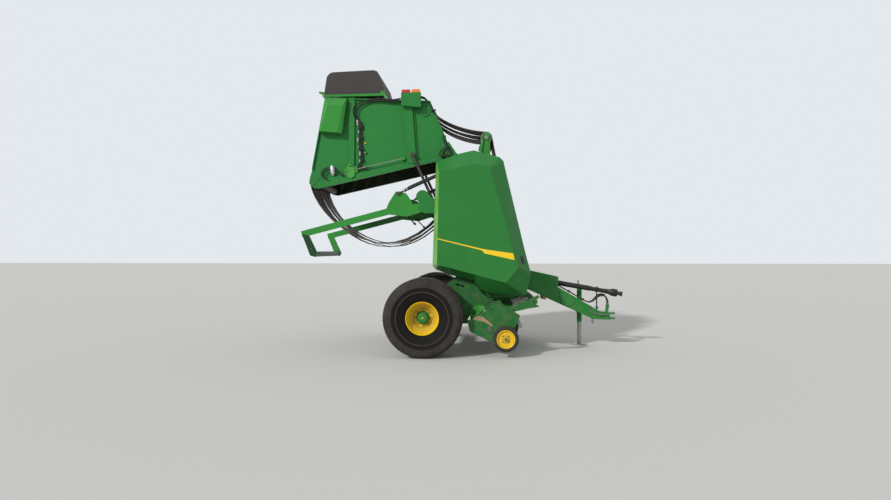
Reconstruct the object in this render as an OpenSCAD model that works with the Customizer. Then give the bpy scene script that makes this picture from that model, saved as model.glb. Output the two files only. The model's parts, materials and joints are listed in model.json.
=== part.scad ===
// Round baler with its rear gate raised, standing on its two wheels and its parking jack.
// Millimetres. X points forwards, Y to the machine's left, Z up.
// Every module is drawn with X = 0 at the axle and Z = 0 on the ground; the if lines
// at the end move the finished piece so that X = 0 is the middle of the machine's length.

/* [Chamber and gate] */
// Clear width of the bale chamber between the side sheets
chamber_w = 1170; // [1100:10:1230]
// Thickness of the side sheets
sheet_t = 8; // [6:1:10]
// Distance of the gate hinge in front of the axle
hinge_x = 385; // [375:5:395]
// Height of the gate hinge
hinge_z = 2644; // [2634:5:2654]
// Angle by which the gate is raised
gate_open = 77.4; // [70:0.2:80]
// Radius of the gate hinge pin
hinge_pin_r = 30; // [24:1:34]
// Running gap between the closed gate and the frame
gate_gap = 10; // [8:1:14]

/* [Rolls and belts] */
// Radius of the rolls that carry the belts
roll_r = 75; // [65:1:80]
// Wall of the roll tubes
roll_wall = 8; // [5:1:12]
// Number of belts side by side
belt_count = 6; // [4:1:7]
// Gap between two belts
belt_gap = 17; // [10:1:30]
// Thickness of a belt
belt_t = 8; // [6:1:10]
// Pull that shapes the slack belts below the raised gate
belt_sag = 1580; // [1500:10:1600]

/* [Wheels and axle] */
// Outer radius of the main tyres
tyre_r = 512; // [490:1:520]
// Width of the main tyres
tyre_w = 546; // [480:2:550]
// Clear distance from the side sheet to the main tyre
tyre_gap = 224; // [224:1:250]
// Radius of the main rims at the flange
rim_r = 222; // [210:1:232]
// Radius of the wheel spindles
spindle_r = 30; // [25:1:36]
// Side of the square axle beam
axle_beam = 120; // [100:5:130]

/* [Side shields] */
// Depth of a shield from its open rim to its face
shield_depth = 205; // [185:5:245]
// Distance of the shield's open rim from the side sheet
shield_gap = 222; // [219:1:237]
// Wall of the moulded shields
shield_wall = 12; // [8:1:16]
// Height of the shield's hinge line
shield_hinge_z = 2590; // [2580:5:2600]

/* [Tongue and jack] */
// Distance of the hitch pin in front of the axle
hitch_x = 2612; // [2600:2:2640]
// Height of the middle of the hitch
hitch_z = 440; // [420:5:460]
// Radius of the hitch pin hole
hitch_pin_r = 17; // [13:0.5:20]
// Width of the tongue where it meets the frame
tongue_w = 320; // [280:10:340]
// Plate thickness of the tongue
tongue_t = 10; // [8:1:14]
// Distance of the jack in front of the axle
jack_x = 2180; // [2120:10:2240]

/* [Pickup] */
// Distance between the pickup's end plates
pickup_w = 2200; // [2100:10:2240]
// Tip radius of the tined reel
reel_r = 225; // [205:1:230]
// Number of tine bars on the reel
tine_bars = 5; // [4:1:6]
// Spacing of the tines along a bar
tine_pitch = 88; // [80:2:110]
// Radius of a tine
tine_r = 4; // [3:0.5:5]
// Outer radius of the feed auger
auger_r = 122; // [105:1:128]
// Outer radius of the gauge wheels
gauge_r = 165; // [150:1:175]
// Width of the gauge wheels
gauge_w = 100; // [80:2:110]

/* [Push bar] */
// Depth of the push bar's arms
arm_h = 85; // [70:1:95]
// Width of the push bar's arms
arm_w = 40; // [30:1:42]
// Distance of the arms' inner faces from the side sheets
arm_gap = 152; // [151:1:155]
// Radius of the push bar's cross tube
push_tube_r = 36; // [30:1:40]

/* [Hidden] */
$fn = 48;

// Colours as the machine wears them
green = "#2f7d35";
bright_green = "#3f9a3a";
yellow = "#f2c413";
rubber = "#26231f";
belt_black = "#2b2622";
steel = "#8d8f8c";
hydraulic_black = "#1c1c1e";
cover_grey = "#4a4541";

// The clearance of a shaft or pin in its hole, and the seat of a piece on its neighbour
run_gap = 0.1;
seat = 0.3;
// Planes across the machine, each measured from its middle
half_w = chamber_w / 2;
sheet_out = half_w + sheet_t;
gate_cyl_y = sheet_out + 90;
outer_y = sheet_out + 134;
outer_t = 9;
housing_out = outer_y + 60;
arm_y = sheet_out + arm_gap;
shield_rim_y = sheet_out + shield_gap;
shield_y = shield_rim_y + shield_depth;
wheel_y = sheet_out + tyre_gap + tyre_w / 2;
hinge = [hinge_x, hinge_z];

// A point given as in the closed gate, relative to the hinge, and where it is with the gate raised
function opened(p, a) = [p[0] * cos(a) + p[1] * sin(a), -p[0] * sin(a) + p[1] * cos(a)];
function raised(p) = hinge + opened(p, gate_open);
function dist(p, q) = norm(q - p);

// Extrudes a side view, drawn as (X, Z), from y0 to y1
module across(y0, y1) {
  translate([0, y1, 0]) rotate([90, 0, 0]) linear_extrude(height = y1 - y0) children();
}

// Mirrors a left piece to the right
module sided(side) {
  if (side < 0) mirror([0, 1, 0]) children();
  else children();
}

module both_sides() {
  children();
  mirror([0, 1, 0]) children();
}

// A round bar along Y at a point of the side view
module cross_rod(p, r, y0, y1) {
  translate([p[0], y0, p[1]]) rotate([-90, 0, 0]) cylinder(r = r, h = y1 - y0);
}

// A round bar between two points of the side view, at one distance y
module side_rod(p, q, r, y) {
  translate([p[0], y, p[1]])
    rotate([0, atan2(q[0] - p[0], q[1] - p[1]), 0])
      cylinder(r = r, h = dist(p, q));
}

// A round bar between two points in space
module rod3(p, q, r) {
  v = q - p;
  translate(p)
    rotate([0, acos(v[2] / norm(v)), atan2(v[1], v[0])])
      cylinder(r = r, h = norm(v));
}

// A long hole between two points of the side view, with its corners cut off
module slot(p, q, r) {
  a = atan2(q[1] - p[1], q[0] - p[0]);
  d = dist(p, q);
  c = 0.4 * r;
  translate(p) rotate(a) polygon([[-r, -c], [-c, -r], [d + c, -r], [d + r, -c],
    [d + r, c], [d + c, r], [-c, r], [-r, c]]);
}

// Puts a piece that is drawn in the closed gate's frame, with the hinge at 0, where the raised gate has it
module in_gate() {
  translate([hinge[0], 0, hinge[1]]) rotate([0, gate_open, 0]) children();
}

// FRAME

pickup_pivot = [700, 600];

// Rolls of the frame: where each one turns
roll_top = [812, 2922];
roll_front_high = [915, 2400];
roll_front_low = [1130, 1140];
roll_feed = [880, 865];
roll_inner = [520, 2260];
starter = [520, 722];
starter_r = 108;
frame_roll_list = [roll_front_high, roll_front_low, roll_feed, roll_inner];

// The gate cylinders: base pin on the frame, and the pin on the raised gate
gate_cyl_r = 36;
gate_cyl_rod_r = 20;
gate_cyl_base = [533, 1084];
gate_cyl_eye_closed = [-172, -558];
gate_cyl_eye = raised(gate_cyl_eye_closed);
gate_cyl_pin_r = 18;

// The push bar: pivot, and the pins of its cylinders
push_pivot = [-34, 1964];
push_pin_r = 22;
push_arm_slope = 14.5;
push_cyl_y = arm_y + arm_w / 2;
push_cyl_r = 20;
push_cyl_rod_r = 10;
push_cyl_base = [480, 2530];
push_cyl_eye = [-378, 2150];
push_cyl_pin_r = 12;
ear_t = 8;
ear_gap = 7;
ear_top = [-42, 2102];
ear_top_r = 88;
ear_in = arm_y - ear_gap - ear_t;
ear_out = arm_y + arm_w + ear_gap;

rear_x = hinge_x + gate_gap;
frame_outline = [
  [rear_x, 470], [rear_x, hinge_z - 100], [470, 2678], [640, 2690], [930, 2600], [985, 2545],
  [1010, 2450], [1265, 1340], [1330, 1080], [1290, 840], [1180, 740], [980, 740], [891, 689],
  [714, 538], [640, 600], [560, 470]
];

module bearing(p) {
  cross_rod(p, 62, sheet_out, sheet_out + 18);
  cross_rod(p, 26, sheet_out, sheet_out + 34);
}

module side_sheet(side) color(green) sided(side) difference() {
  union() {
    across(half_w, sheet_out) union() {
      polygon(frame_outline);
      translate(hinge) circle(r = 70);
    }
    // folded edges and pressed ribs
    across(sheet_out, sheet_out + 40) polygon([
      [1002, 2450], [1010, 2450], [1265, 1340], [1330, 1080], [1322, 1080], [1257, 1340]]);
    across(sheet_out, sheet_out + 45) translate([rear_x, 640]) square([12, 330]);
    across(sheet_out, sheet_out + 30) translate([700, 1500]) rotate(-8) square([430, 60]);
    across(sheet_out, sheet_out + 30) translate([760, 2050]) square([200, 60]);
    for (p = concat(frame_roll_list, [starter])) bearing(p);
    // hinge pin of the gate, with its collar
    cross_rod(hinge, hinge_pin_r, half_w - 30, sheet_out + 34);
    cross_rod(hinge, hinge_pin_r + 12, sheet_out + 22, sheet_out + 34);
    // pin that the pickup swings on
    cross_rod(pickup_pivot, pickup_pin_r, half_w, arm_plate[1] + 4);
  }
}

// Blocks and arms that stand on the side sheet
module brackets(side) color(green) sided(side) {
  y0 = sheet_out + seat;
  across(y0, gate_cyl_y - gate_cyl_r - 7) translate(gate_cyl_base) square([110, 120], center = true);
  cross_rod(gate_cyl_base, gate_cyl_pin_r, y0, gate_cyl_y + 28);
  across(y0, push_cyl_y - push_cyl_r - 6) translate(push_cyl_base) square([56, 56], center = true);
  cross_rod(push_cyl_base, push_cyl_pin_r, y0, push_cyl_y + 18);
  across(y0, ear_in) translate([450, 1880]) square([100, 170]);
  for (y = [ear_in, ear_out])
    across(y, y + ear_t) difference() {
      union() {
        polygon([[-60, 1910], [-20, 1880], [560, 1860], [560, 2070], [60, 2060], [-40, 2020]]);
        translate(push_pivot) circle(r = 68);
      }
      translate([160, 1965]) circle(r = 28);
    }
  across(ear_in + ear_t, ear_out) translate([470, 1880]) square([60, 170]);
  cross_rod(push_pivot, push_pin_r, ear_in + ear_t, ear_out);
  // round plate that stands over the outer ear
  across(ear_out, ear_out + ear_t) {
    translate(ear_top) circle(r = ear_top_r);
    polygon([ear_top + [-0.9 * ear_top_r, -20], push_pivot + [-50, 30], push_pivot + [190, 90],
      ear_top + [0.7 * ear_top_r, 20]]);
  }
  for (x = shield_arm_x) shield_arm(x, y0);
}

module shield_arm(x, y0) {
  translate([x, y0, shield_hinge_z - 60]) cube([40, shield_pin_y + 10 - y0, 30]);
  translate([x, shield_pin_y - 10, shield_hinge_z - 60]) cube([40, 20, 60]);
  translate([x, shield_pin_y, shield_hinge_z]) rotate([0, 90, 0]) cylinder(r = 14, h = 40);
  translate([x - 22, shield_pin_y, shield_hinge_z]) rotate([0, 90, 0]) cylinder(r = shield_pin_r, h = 84);
}

shield_pin_y = shield_rim_y - 24;
shield_pin_r = 8;
shield_arm_x = [520, 650];

axle_z = tyre_r;
// Half-length of the axle beam
beam_half = wheel_y - tyre_w / 2 - 20;
tongue_root = 1340;
rail_z = 380;
rail_h = 90;

module cross_frame() color(green) {
  // axle beam and the two rails ahead of it
  translate([-axle_beam / 2, -beam_half, axle_z - axle_beam / 2]) cube([axle_beam, 2 * beam_half, axle_beam]);
  both_sides() translate([axle_beam / 2, half_w - 40, rail_z]) cube([500, 80, rail_h]);
  both_sides() translate([-90, half_w - 40, rail_z]) cube([150, 80, axle_z - axle_beam / 2 - rail_z]);
  // cross members between the side sheets
  translate([580, -half_w + seat, 520]) cube([50, chamber_w - 2 * seat, 60]);
  for (p = [[1178, 1420, 48], [915, 2200, 80], [650, 2540, 80]])
    translate([p[0], -half_w + seat, p[1]]) cube([p[2], chamber_w - 2 * seat, 80]);
  translate([1180, -half_w + seat, 850]) cube([tongue_root - 1180, chamber_w - 2 * seat, 150]);
}

// Plates outside the gate that carry the axle beam from the side sheets
module axle_plates() color(green) both_sides() {
  difference() {
    across(outer_y, outer_y + outer_t) polygon([
      [284, 935], [398, 1002], [648, 955], [760, 800], [890, 698], [715, 549], [600, 520], [540, 400],
      [-95, 395], [-95, axle_z + 78], [90, axle_z + 128], [230, axle_z + 288]]);
    // hole for the axle beam, and the hand hole
    translate([-axle_beam / 2 - seat, 0, axle_z - axle_beam / 2 - seat])
      cube([axle_beam + 2 * seat, 2 * beam_half, axle_beam + 2 * seat]);
    across(outer_y - 1, outer_y + outer_t + 1) slot([405, 922], [500, 896], 15);
  }
  // folded top edge, spacers to the side sheet and the round housing of the auger's drive
  across(outer_y + outer_t, outer_y + outer_t + 16) polygon([[408, 984], [410, 996], [640, 953], [634, 940]]);
  across(sheet_out + seat, outer_y) translate([610, 740]) square([110, 70]);
  across(sheet_out + seat, outer_y) translate([480, 480]) square([30, 60]);
  across(outer_y + outer_t, housing_out) translate([548, 594]) circle(r = 84);
}

module axle() color(steel) both_sides() {
  cross_rod([0, axle_z], spindle_r + 18, beam_half, beam_half + 40);
  cross_rod([0, axle_z], spindle_r, beam_half + 40, wheel_y + 90);
}

// WHEELS

// Half sections of the main tyre, as radius and distance from its middle plane
bead_r = rim_r - 17;
tyre_half = tyre_w / 2;
tread_half = tyre_half - 45;

module tyre_section() {
  difference() {
    polygon(concat(
      [[bead_r, -tyre_half + 70], [bead_r + 35, -tyre_half + 40], [bead_r + 110, -tyre_half + 6],
       [tyre_r - 130, -tyre_half], [tyre_r - 60, -tyre_half + 12], [tyre_r - 22, -tread_half],
       [tyre_r - 4, -tread_half + 40], [tyre_r, -tread_half + 100]],
      [[tyre_r, tread_half - 100], [tyre_r - 4, tread_half - 40], [tyre_r - 22, tread_half],
       [tyre_r - 60, tyre_half - 12], [tyre_r - 130, tyre_half], [bead_r + 110, tyre_half - 6],
       [bead_r + 35, tyre_half - 40], [bead_r, tyre_half - 70]]));
    polygon([[bead_r - 1, -tyre_half + 100], [bead_r + 60, -tyre_half + 60],
      [tyre_r - 110, -tyre_half + 45], [tyre_r - 50, -tread_half + 40], [tyre_r - 40, 0],
      [tyre_r - 50, tread_half - 40], [tyre_r - 110, tyre_half - 45],
      [bead_r + 60, tyre_half - 60], [bead_r - 1, tyre_half - 100]]);
    // grooves between the ribs of the tread
    for (y = [-150, -75, 0, 75, 150])
      translate([tyre_r - 16, y - 9]) square([30, 18]);
  }
}

module spin_y() {
  rotate([-90, 0, 0]) rotate_extrude($fn = 96) children();
}

module main_wheel_at(side) {
  translate([0, side * wheel_y, axle_z]) sided(side) children();
}

module tyre(side) color(rubber) main_wheel_at(side) spin_y() tyre_section();

rim_inner = bead_r - 8;
disc_y = 60;

module rim(side) color(yellow) main_wheel_at(side) difference() {
  spin_y() union() {
    // barrel with its two flanges
    polygon([[rim_inner, -tyre_half + 40], [rim_r, -tyre_half + 36], [rim_r, -tyre_half + 44],
      [bead_r - run_gap, -tyre_half + 60], [bead_r - run_gap, tyre_half - 60],
      [rim_r, tyre_half - 44], [rim_r, tyre_half - 36], [rim_inner, tyre_half - 40]]);
    // dished disc
    polygon([[88, disc_y + 10], [130, disc_y + 10], [150, disc_y + 50], [rim_inner + 2, disc_y + 80],
      [rim_inner + 2, disc_y + 96], [144, disc_y + 62], [124, disc_y + 22], [88, disc_y + 22]]);
  }
  for (k = [0:7])
    rotate([0, k * 45, 0]) translate([106, 0, 0]) rotate([-90, 0, 0]) cylinder(r = 9, h = 300, $fn = 16);
}

module hub(side) color(green) main_wheel_at(side) difference() {
  union() {
    spin_y() polygon([[0, disc_y - 120], [58, disc_y - 120], [64, disc_y - 60], [84, disc_y - 8],
      [124, disc_y - 4], [124, disc_y + 9.7], [84, disc_y + 9.7], [84, disc_y + 30], [66, disc_y + 50],
      [62, disc_y + 96], [50, disc_y + 106], [0, disc_y + 110]]);
    for (k = [0:7])
      rotate([0, k * 45, 0]) translate([106, disc_y + 9, 0]) rotate([-90, 0, 0])
        cylinder(r = 8.5, h = 34, $fn = 16);
  }
  translate([0, disc_y - 121, 0]) rotate([-90, 0, 0]) cylinder(r = spindle_r + run_gap, h = 152);
}

// SHIELDS

// One row per corner of a shield: [rim x, rim z, face x, face z], going round from the rear foot
shield_table = [
  [93, 1177, 168, 1200], [143, 2568, 195, 2406], [298, 2618, 340, 2440], [463, 2676, 490, 2475],
  [644, 2716, 647, 2512], [989, 2622, 845, 2463], [1041, 2571, 862, 2450], [1071, 2439, 874, 2410],
  [1334, 1342, 1176, 1338], [1404, 1079, 1226, 1170], [1395, 1017, 1216, 1132],
  [1343, 793, 1086, 972], [1312, 777, 1060, 957], [848, 812, 850, 1012], [743, 852, 760, 1036],
  [644, 974, 670, 1060], [317, 1055, 330, 1151], [133, 1126, 184, 1184]
];

// Points moved inwards by d, for an outline that runs clockwise as seen with X right and Z up
function inset(pts, d) = [
  for (i = [0:len(pts) - 1])
    let (n = len(pts), a = pts[(i + n - 1) % n], b = pts[i], c = pts[(i + 1) % n],
      u = (b - a) / norm(b - a), v = (c - b) / norm(c - b),
      nu = [u[1], -u[0]], nv = [v[1], -v[0]], m = nu + nv)
    b + m * (d / (1 + nu * nv))
];

module shield_shell() {
  n = len(shield_table);
  rim_pts = [for (r = shield_table) [r[0], r[1]]];
  face_pts = [for (r = shield_table) [r[2], r[3]]];
  rim_in = inset(rim_pts, shield_wall);
  face_in = inset(face_pts, shield_wall * 0.6);
  rings = concat(
    [for (p = rim_pts) [p[0], shield_rim_y, p[1]]],
    [for (p = face_pts) [p[0], shield_y, p[1]]],
    [for (p = face_in) [p[0], shield_y - shield_wall, p[1]]],
    [for (p = rim_in) [p[0], shield_rim_y, p[1]]]);
  sides = [for (k = [0:3], i = [0:n - 1]) let (j = (i + 1) % n, a = k * n, b = ((k + 1) % 4) * n)
    each [[a + i, b + i, b + j], [a + i, b + j, a + j]]];
  // the face and its inner side close rings 1 and 2
  skip = [for (f = sides) if (!(f[0] >= n && f[0] < 2 * n)) f];
  polyhedron(points = rings, faces = concat(skip,
    [[for (i = [n - 1:-1:0]) n + i]], [[for (i = [0:n - 1]) 2 * n + i]]));
}

module shield(side) color(bright_green) sided(side) {
  shield_shell();
  // ears on the hinge pins
  for (x = shield_arm_x, s = [-1, 1])
    translate([x + 20 + s * 31 - 5, 0, 0]) rotate([90, 0, 90]) linear_extrude(height = 10) difference() {
      union() {
        translate([shield_pin_y, shield_hinge_z]) circle(r = 20);
        polygon([[shield_pin_y - 14, 2576], [shield_pin_y + 12, 2574], [shield_rim_y + 55, 2600],
          [shield_rim_y + 65, 2616], [shield_rim_y + 35, 2652], [shield_rim_y + 23, 2656]]);
      }
      translate([shield_pin_y, shield_hinge_z]) circle(r = shield_pin_r + run_gap);
    }
}

// TOP ROLL TOWER

module roll_tower() color(green) both_sides() difference() {
  union() {
    across(sheet_out + seat, sheet_out + 12) union() {
      polygon([[700, 2500], [740, 2722], [704, 2740], [712, 2795], [752, 2850], [770, 2960], [800, 2996],
        [850, 2992], [866, 2960], [864, 2722], [900, 2500]]);
      translate(roll_top) circle(r = 62);
    }
    across(sheet_out + 12, sheet_out + 40) polygon([[700, 2500], [740, 2722], [770, 2960], [780, 2960], [752, 2722],
      [712, 2500]]);
    across(sheet_out + 12, sheet_out + 40) polygon([[900, 2500], [864, 2722], [866, 2960], [856, 2960], [852, 2722],
      [888, 2500]]);
    cross_rod(roll_top, 36, sheet_out + 12, sheet_out + 26);
  }
  cross_rod(roll_top, 24 + run_gap, sheet_out - 1, sheet_out + 80);
}

module roll(p, r) {
  difference() {
    cross_rod(p, r, -half_w + run_gap, half_w - run_gap);
    cross_rod(p, r - roll_wall, -half_w, half_w);
  }
}

module frame_rolls() color(steel) {
  for (p = frame_roll_list) roll(p, roll_r);
  roll(starter, starter_r);
  for (k = [0:7])
    translate([starter[0], 0, starter[1]]) rotate([0, k * 45, 0])
      translate([-6, -half_w + 6, starter_r - 1]) cube([12, chamber_w - 12, 9]);
  // the top roll turns between the tower's plates
  difference() {
    cross_rod(roll_top, roll_r, -sheet_out + run_gap, sheet_out - run_gap);
    cross_rod(roll_top, roll_r - roll_wall, -sheet_out, sheet_out);
  }
  cross_rod(roll_top, 24, -sheet_out - 30, sheet_out + 30);
}

// BELTS

belt_w = (chamber_w - 20 - (belt_count - 1) * belt_gap) / belt_count;
function belt_y(i) = -half_w + 10 + i * (belt_w + belt_gap);

function bezier(p, t) = p[0] * pow(1 - t, 3) + p[1] * 3 * t * pow(1 - t, 2)
  + p[2] * 3 * t * t * (1 - t) + p[3] * pow(t, 3);

// The strip between a curve and the same curve moved aside by the belt's thickness
function curve(p, n) = [for (k = [0:n]) bezier(p, k / n)];
function normal_at(pts, i) =
  let (a = pts[max(i - 1, 0)], b = pts[min(i + 1, len(pts) - 1)], d = (b - a) / norm(b - a))
  [-d[1], d[0]];
function strip(pts, t) = concat(pts,
  [for (i = [len(pts) - 1:-1:0]) pts[i] + normal_at(pts, i) * t]);

belt_seat = roll_r + 1;
gate_roll_top = [-715, -262];
gate_roll_rear = [-1040, -1470];
gate_roll_foot = [-110, -1960];

// Where the belts leave the rolls on both sides of the gate's joint
function on_roll(p, a, r = belt_seat) = p + [cos(a), sin(a)] * r;
belt_near = roll_r + 0.6;
upper_from = on_roll(raised(gate_roll_top), 36, belt_near);
upper_to = on_roll(roll_top, 90, belt_near);
slack_from = on_roll(raised(gate_roll_foot), 190, belt_near + belt_t);
slack_to = on_roll(roll_inner, 152, belt_near);

module belts_upper() color(belt_black) {
  for (i = [0:belt_count - 1]) {
    drop = 18 * sin(i * 140);
    pts = curve([upper_from, upper_from + [130, -170 + drop], upper_to + [-330, 20 + drop], upper_to], 12);
    across(belt_y(i), belt_y(i) + belt_w) polygon(strip(pts, belt_t));
  }
}

slack_lead = 70;
slack_drop = 552;
slack_reach = 830;
module belts_slack() color(belt_black) {
  for (i = [0:belt_count - 1]) {
    drop = 45 * sin(i * 110 + 40);
    pts = curve([slack_from, slack_from + [slack_lead, -slack_drop + drop],
      slack_to + [-slack_reach, -belt_sag + drop], slack_to], 18);
    across(belt_y(i), belt_y(i) + belt_w) polygon(strip(pts, belt_t));
  }
}

function heading(p, q) = atan2(q[1] - p[1], q[0] - p[0]);

// Rows of [roll, angle where the belt meets it, angle where it leaves]
function arc(row, r) = let (n = max(1, ceil(abs(row[2] - row[1]) / 14)))
  [for (k = [0:n]) let (a = row[1] + (row[2] - row[1]) * k / n) row[0] + [cos(a), sin(a)] * r];
function belt_line(rows, r) = [for (row = rows) each arc(row, r)];
function turned(pts) = [for (i = [len(pts) - 1:-1:0]) pts[i]];

module belt_loop(rows) {
  for (i = [0:belt_count - 1]) across(belt_y(i), belt_y(i) + belt_w)
    polygon(concat(belt_line(rows, belt_seat), turned(belt_line(rows, belt_seat + belt_t))));
}

// Length of a belt end left free where the next run of the same belt begins
splice = 0.2;

module belts_frame() color(belt_black) {
  a1 = heading(roll_top, roll_front_high) + 90;
  a2 = heading(roll_front_high, roll_front_low) + 90;
  a3 = heading(roll_front_low, roll_feed) + 90;
  a4 = heading(roll_feed, roll_inner) + 90 - 360;
  belt_loop([[roll_top, 88, a1], [roll_front_high, a1, a2], [roll_front_low, a2, a2 - 4]]);
  belt_loop([[roll_front_low, a2 - 4 - splice, a3], [roll_feed, a3, a3 - 4]]);
  belt_loop([[roll_feed, a3 - 4 - splice, a4], [roll_inner, a4 + 360, 186]]);
}

module belts_gate() color(belt_black) in_gate() {
  a1 = heading(gate_roll_foot, gate_roll_rear) + 90;
  a2 = heading(gate_roll_rear, gate_roll_top) + 90;
  belt_loop([[gate_roll_foot, 187 + gate_open, a1], [gate_roll_rear, a1, a1 - 6]]);
  belt_loop([[gate_roll_rear, a1 - 6 - splice, a2], [gate_roll_top, a2, 38 + gate_open]]);
}

// GATE

// Outline of the gate's side sheet with the gate closed, relative to the hinge
gate_outline = [
  [-10, -120], [-10, -1930], [-32, -1990], [-70, -2032], [-120, -2050], [-177, -2030], [-291, -1968],
  [-776, -1756], [-1222, -1571], [-841, -159], [-60, -20]
];

// Height of the hat rib over the sheet
hat_h = 48;
module gate_rib(p, q, w, h) {
  a = heading(p, q);
  across(sheet_out, sheet_out + h) translate(p) rotate(a) translate([0, -w / 2]) square([dist(p, q), w]);
}

module gate_side(side) color(green) sided(side) in_gate() difference() {
  union() {
    across(half_w, sheet_out) difference() {
      polygon(gate_outline);
      circle(r = 90);
    }
    // hollow flange beside the frame, with its end plate
    across(sheet_out, sheet_out + 38) polygon([[-10, -160], [-66, -160], [-96, -1350], [-96, -1530], [-120, -1650],
      [-114, -1900], [-60, -1985], [-32, -1985], [-10, -1930]]);
    // hat rib and narrow rib
    gate_rib([-60, -585], [-905, -465], 175, 18);
    gate_rib([-60, -585], [-905, -465], 118, hat_h);
    gate_rib([-60, -1453], [-1130, -1205], 80, 26);
    // edge folded out along the rear and the top
    across(sheet_out, sheet_out + 30) polygon([[-841, -159], [-1222, -1571], [-1208, -1575], [-827, -163]]);
    across(sheet_out, sheet_out + 30) polygon([[-1222, -1571], [-291, -1968], [-286, -1956], [-1218, -1557]]);
    across(sheet_out, sheet_out + 24) polygon([[-841, -159], [-100, -27], [-100, -39], [-836, -171]]);
    // hinge plate
    across(sheet_out + 4, sheet_out + 18) union() {
      circle(r = 58);
      polygon([[-40, 42], [-230, -30], [-260, -150], [-96.3, -159], [-30, -50]]);
    }
    across(sheet_out, sheet_out + 4) polygon([[-110, -60], [-240, -80], [-240, -150], [-110, -150]]);
    // bearings of the gate's rolls
    for (p = [gate_roll_top, gate_roll_rear, gate_roll_foot]) {
      across(sheet_out, sheet_out + 14) translate(p) circle(r = 66);
      across(sheet_out, sheet_out + 30) translate(p) circle(r = 26);
    }
  }
  translate([0, sheet_out - 1, 0]) rotate([-90, 0, 0]) cylinder(r = hinge_pin_r + run_gap, h = 60);
}

module gate_cross() color(green) in_gate() {
  // rear sheet above the net box
  across(-half_w, half_w) polygon([[-852, -200], [-1010, -785], [-1002, -787], [-844, -202]]);
  for (p = [[-195, -150, 30], [-1168, -1535, 22], [-822, -205, 20]])
    translate([p[0], -half_w, p[1]]) rotate([-90, 0, 0]) cylinder(r = p[2], h = chamber_w);
}

module gate_rolls() color(steel) in_gate() {
  for (p = [gate_roll_top, gate_roll_rear, gate_roll_foot]) roll(p, roll_r);
}

module lamp_brackets() color(green) both_sides() in_gate() {
  across(sheet_out + hat_h + seat, sheet_out + 118)
    polygon([[-846, -556], [-764, -296], [-962, -258], [-1016, -522]]);
}

// A pair of lamps on the brackets: a and b are the ends of the lens along the bracket's top
module lamp_pair(a, b) both_sides() in_gate() {
  u = (b - a) / dist(a, b);
  n = [u[1], -u[0]];
  across(sheet_out + 54, sheet_out + 112) polygon([a, b, b - n * 46 - u * 6, a - n * 46 + u * 6]);
}
lamp_base_a = [-1016 - seat, -522];
lamp_base_b = [-962 - seat, -258];
function on_lamp_base(t) = lamp_base_a + (lamp_base_b - lamp_base_a) * t;
module lamps_red() color("#c8102e") lamp_pair(on_lamp_base(0.02), on_lamp_base(0.48));
module lamps_amber() color("#f08a2c") lamp_pair(on_lamp_base(0.52), on_lamp_base(0.98));

module gate_valves() color(hydraulic_black) in_gate() {
  y0 = sheet_out + seat;
  for (p = [[-330, -1290], [-480, -1262], [-640, -1236], [-790, -1200]])
    translate([p[0], -y0 - 38, p[1]]) rotate([0, -13, 0]) cube([100, 38, 44]);
  translate([-215, -y0 - 26, -1330]) rotate([0, -13, 0]) cube([90, 26, 30]);
}

// Bosses that the gate cylinders' eyes stand beside
module gate_bosses() color(green) both_sides() in_gate()
  across(sheet_out + hat_h + seat, gate_cyl_y - 24) translate(gate_cyl_eye_closed) circle(r = 40);

// Rods that pull the gate's latch hooks, and their distance behind the gate's front edge
latch_x = -150;
module latch_rods() color(steel) both_sides() in_gate() {
  y1 = sheet_out + 43;
  // bearer at the boss, bracket on the narrow rib, and the rod between them
  across(sheet_out + seat, y1 + 6) translate([latch_x, -690]) square([40, 50], center = true);
  across(sheet_out + 26 + seat, y1 + 6) translate([latch_x, -1435]) square([96, 180], center = true);
  side_rod([latch_x, -1345], [latch_x, -715], 5, y1);
}

// NET WRAP

module net_box() color(green) in_gate() {
  // wings that cover the net drive at both ends
  both_sides() across(sheet_out + 30 + seat, sheet_out + 100)
    polygon([[-1195, -1560], [-1118, -1270], [-664, -1440], [-764, -1745]]);
  // tray across the machine, with its front lip and the ears of the cover's hinge
  across(-half_w - 45, half_w + 45) polygon([[-998.4, -740], [-1062, -750], [-1084, -750], [-1262, -1592],
    [-1236, -1598], [-1228, -1575], [-1056, -770], [-1004.9, -764]]);
  both_sides() across(half_w - 12, half_w)
    polygon([[-1078, -752], [-1130, -742], [-1140, -800], [-1094, -812]]);
  both_sides() across(half_w + 20, half_w + 45)
    polygon([[-1262, -1592], [-1298, -1640], [-1318, -1630], [-1290, -1560]]);
  both_sides() cross_rod([-1120, -772], 8, half_w - 44, half_w);
}

net_cover_outline = [
  [-1092, -762], [-1128, -752], [-1382, -774], [-1424, -792], [-1450, -840], [-1553, -1397], [-1548, -1442],
  [-1511, -1492], [-1341, -1559], [-1267, -1586]
];
module net_cover() color(cover_grey) in_gate() difference() {
  across(-half_w + 20, half_w - 20) polygon(net_cover_outline);
  across(-half_w + 32, half_w - 32) polygon([
    [-1080, -775], [-1130, -764], [-1377, -786], [-1415, -802], [-1439, -846], [-1541, -1397], [-1537, -1438],
    [-1504, -1482], [-1337, -1547], [-1250, -1580]]);
  cross_rod([-1120, -772], 8 + run_gap, -half_w - 1, half_w + 1);
}

// PUSH BAR

arm_u = [cos(push_arm_slope), sin(push_arm_slope)];
arm_v = [-arm_u[1], arm_u[0]];
// Points along the arm: distance behind the pivot, and height above the pivot's line
function on_arm(back, up) = push_pivot - arm_u * back + arm_v * up;
arm_len = 1700;
arm_low = 20;
bracket_foot = on_arm(1612, -240);

module push_arm_profile() {
  polygon([on_arm(60, -60), on_arm(-20, -70), on_arm(-66, 0), on_arm(-30, 54), on_arm(430, arm_low + arm_h),
    on_arm(arm_len, arm_low + arm_h), on_arm(arm_len, arm_low), on_arm(480, arm_low), on_arm(240, -70)]);
}

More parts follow.
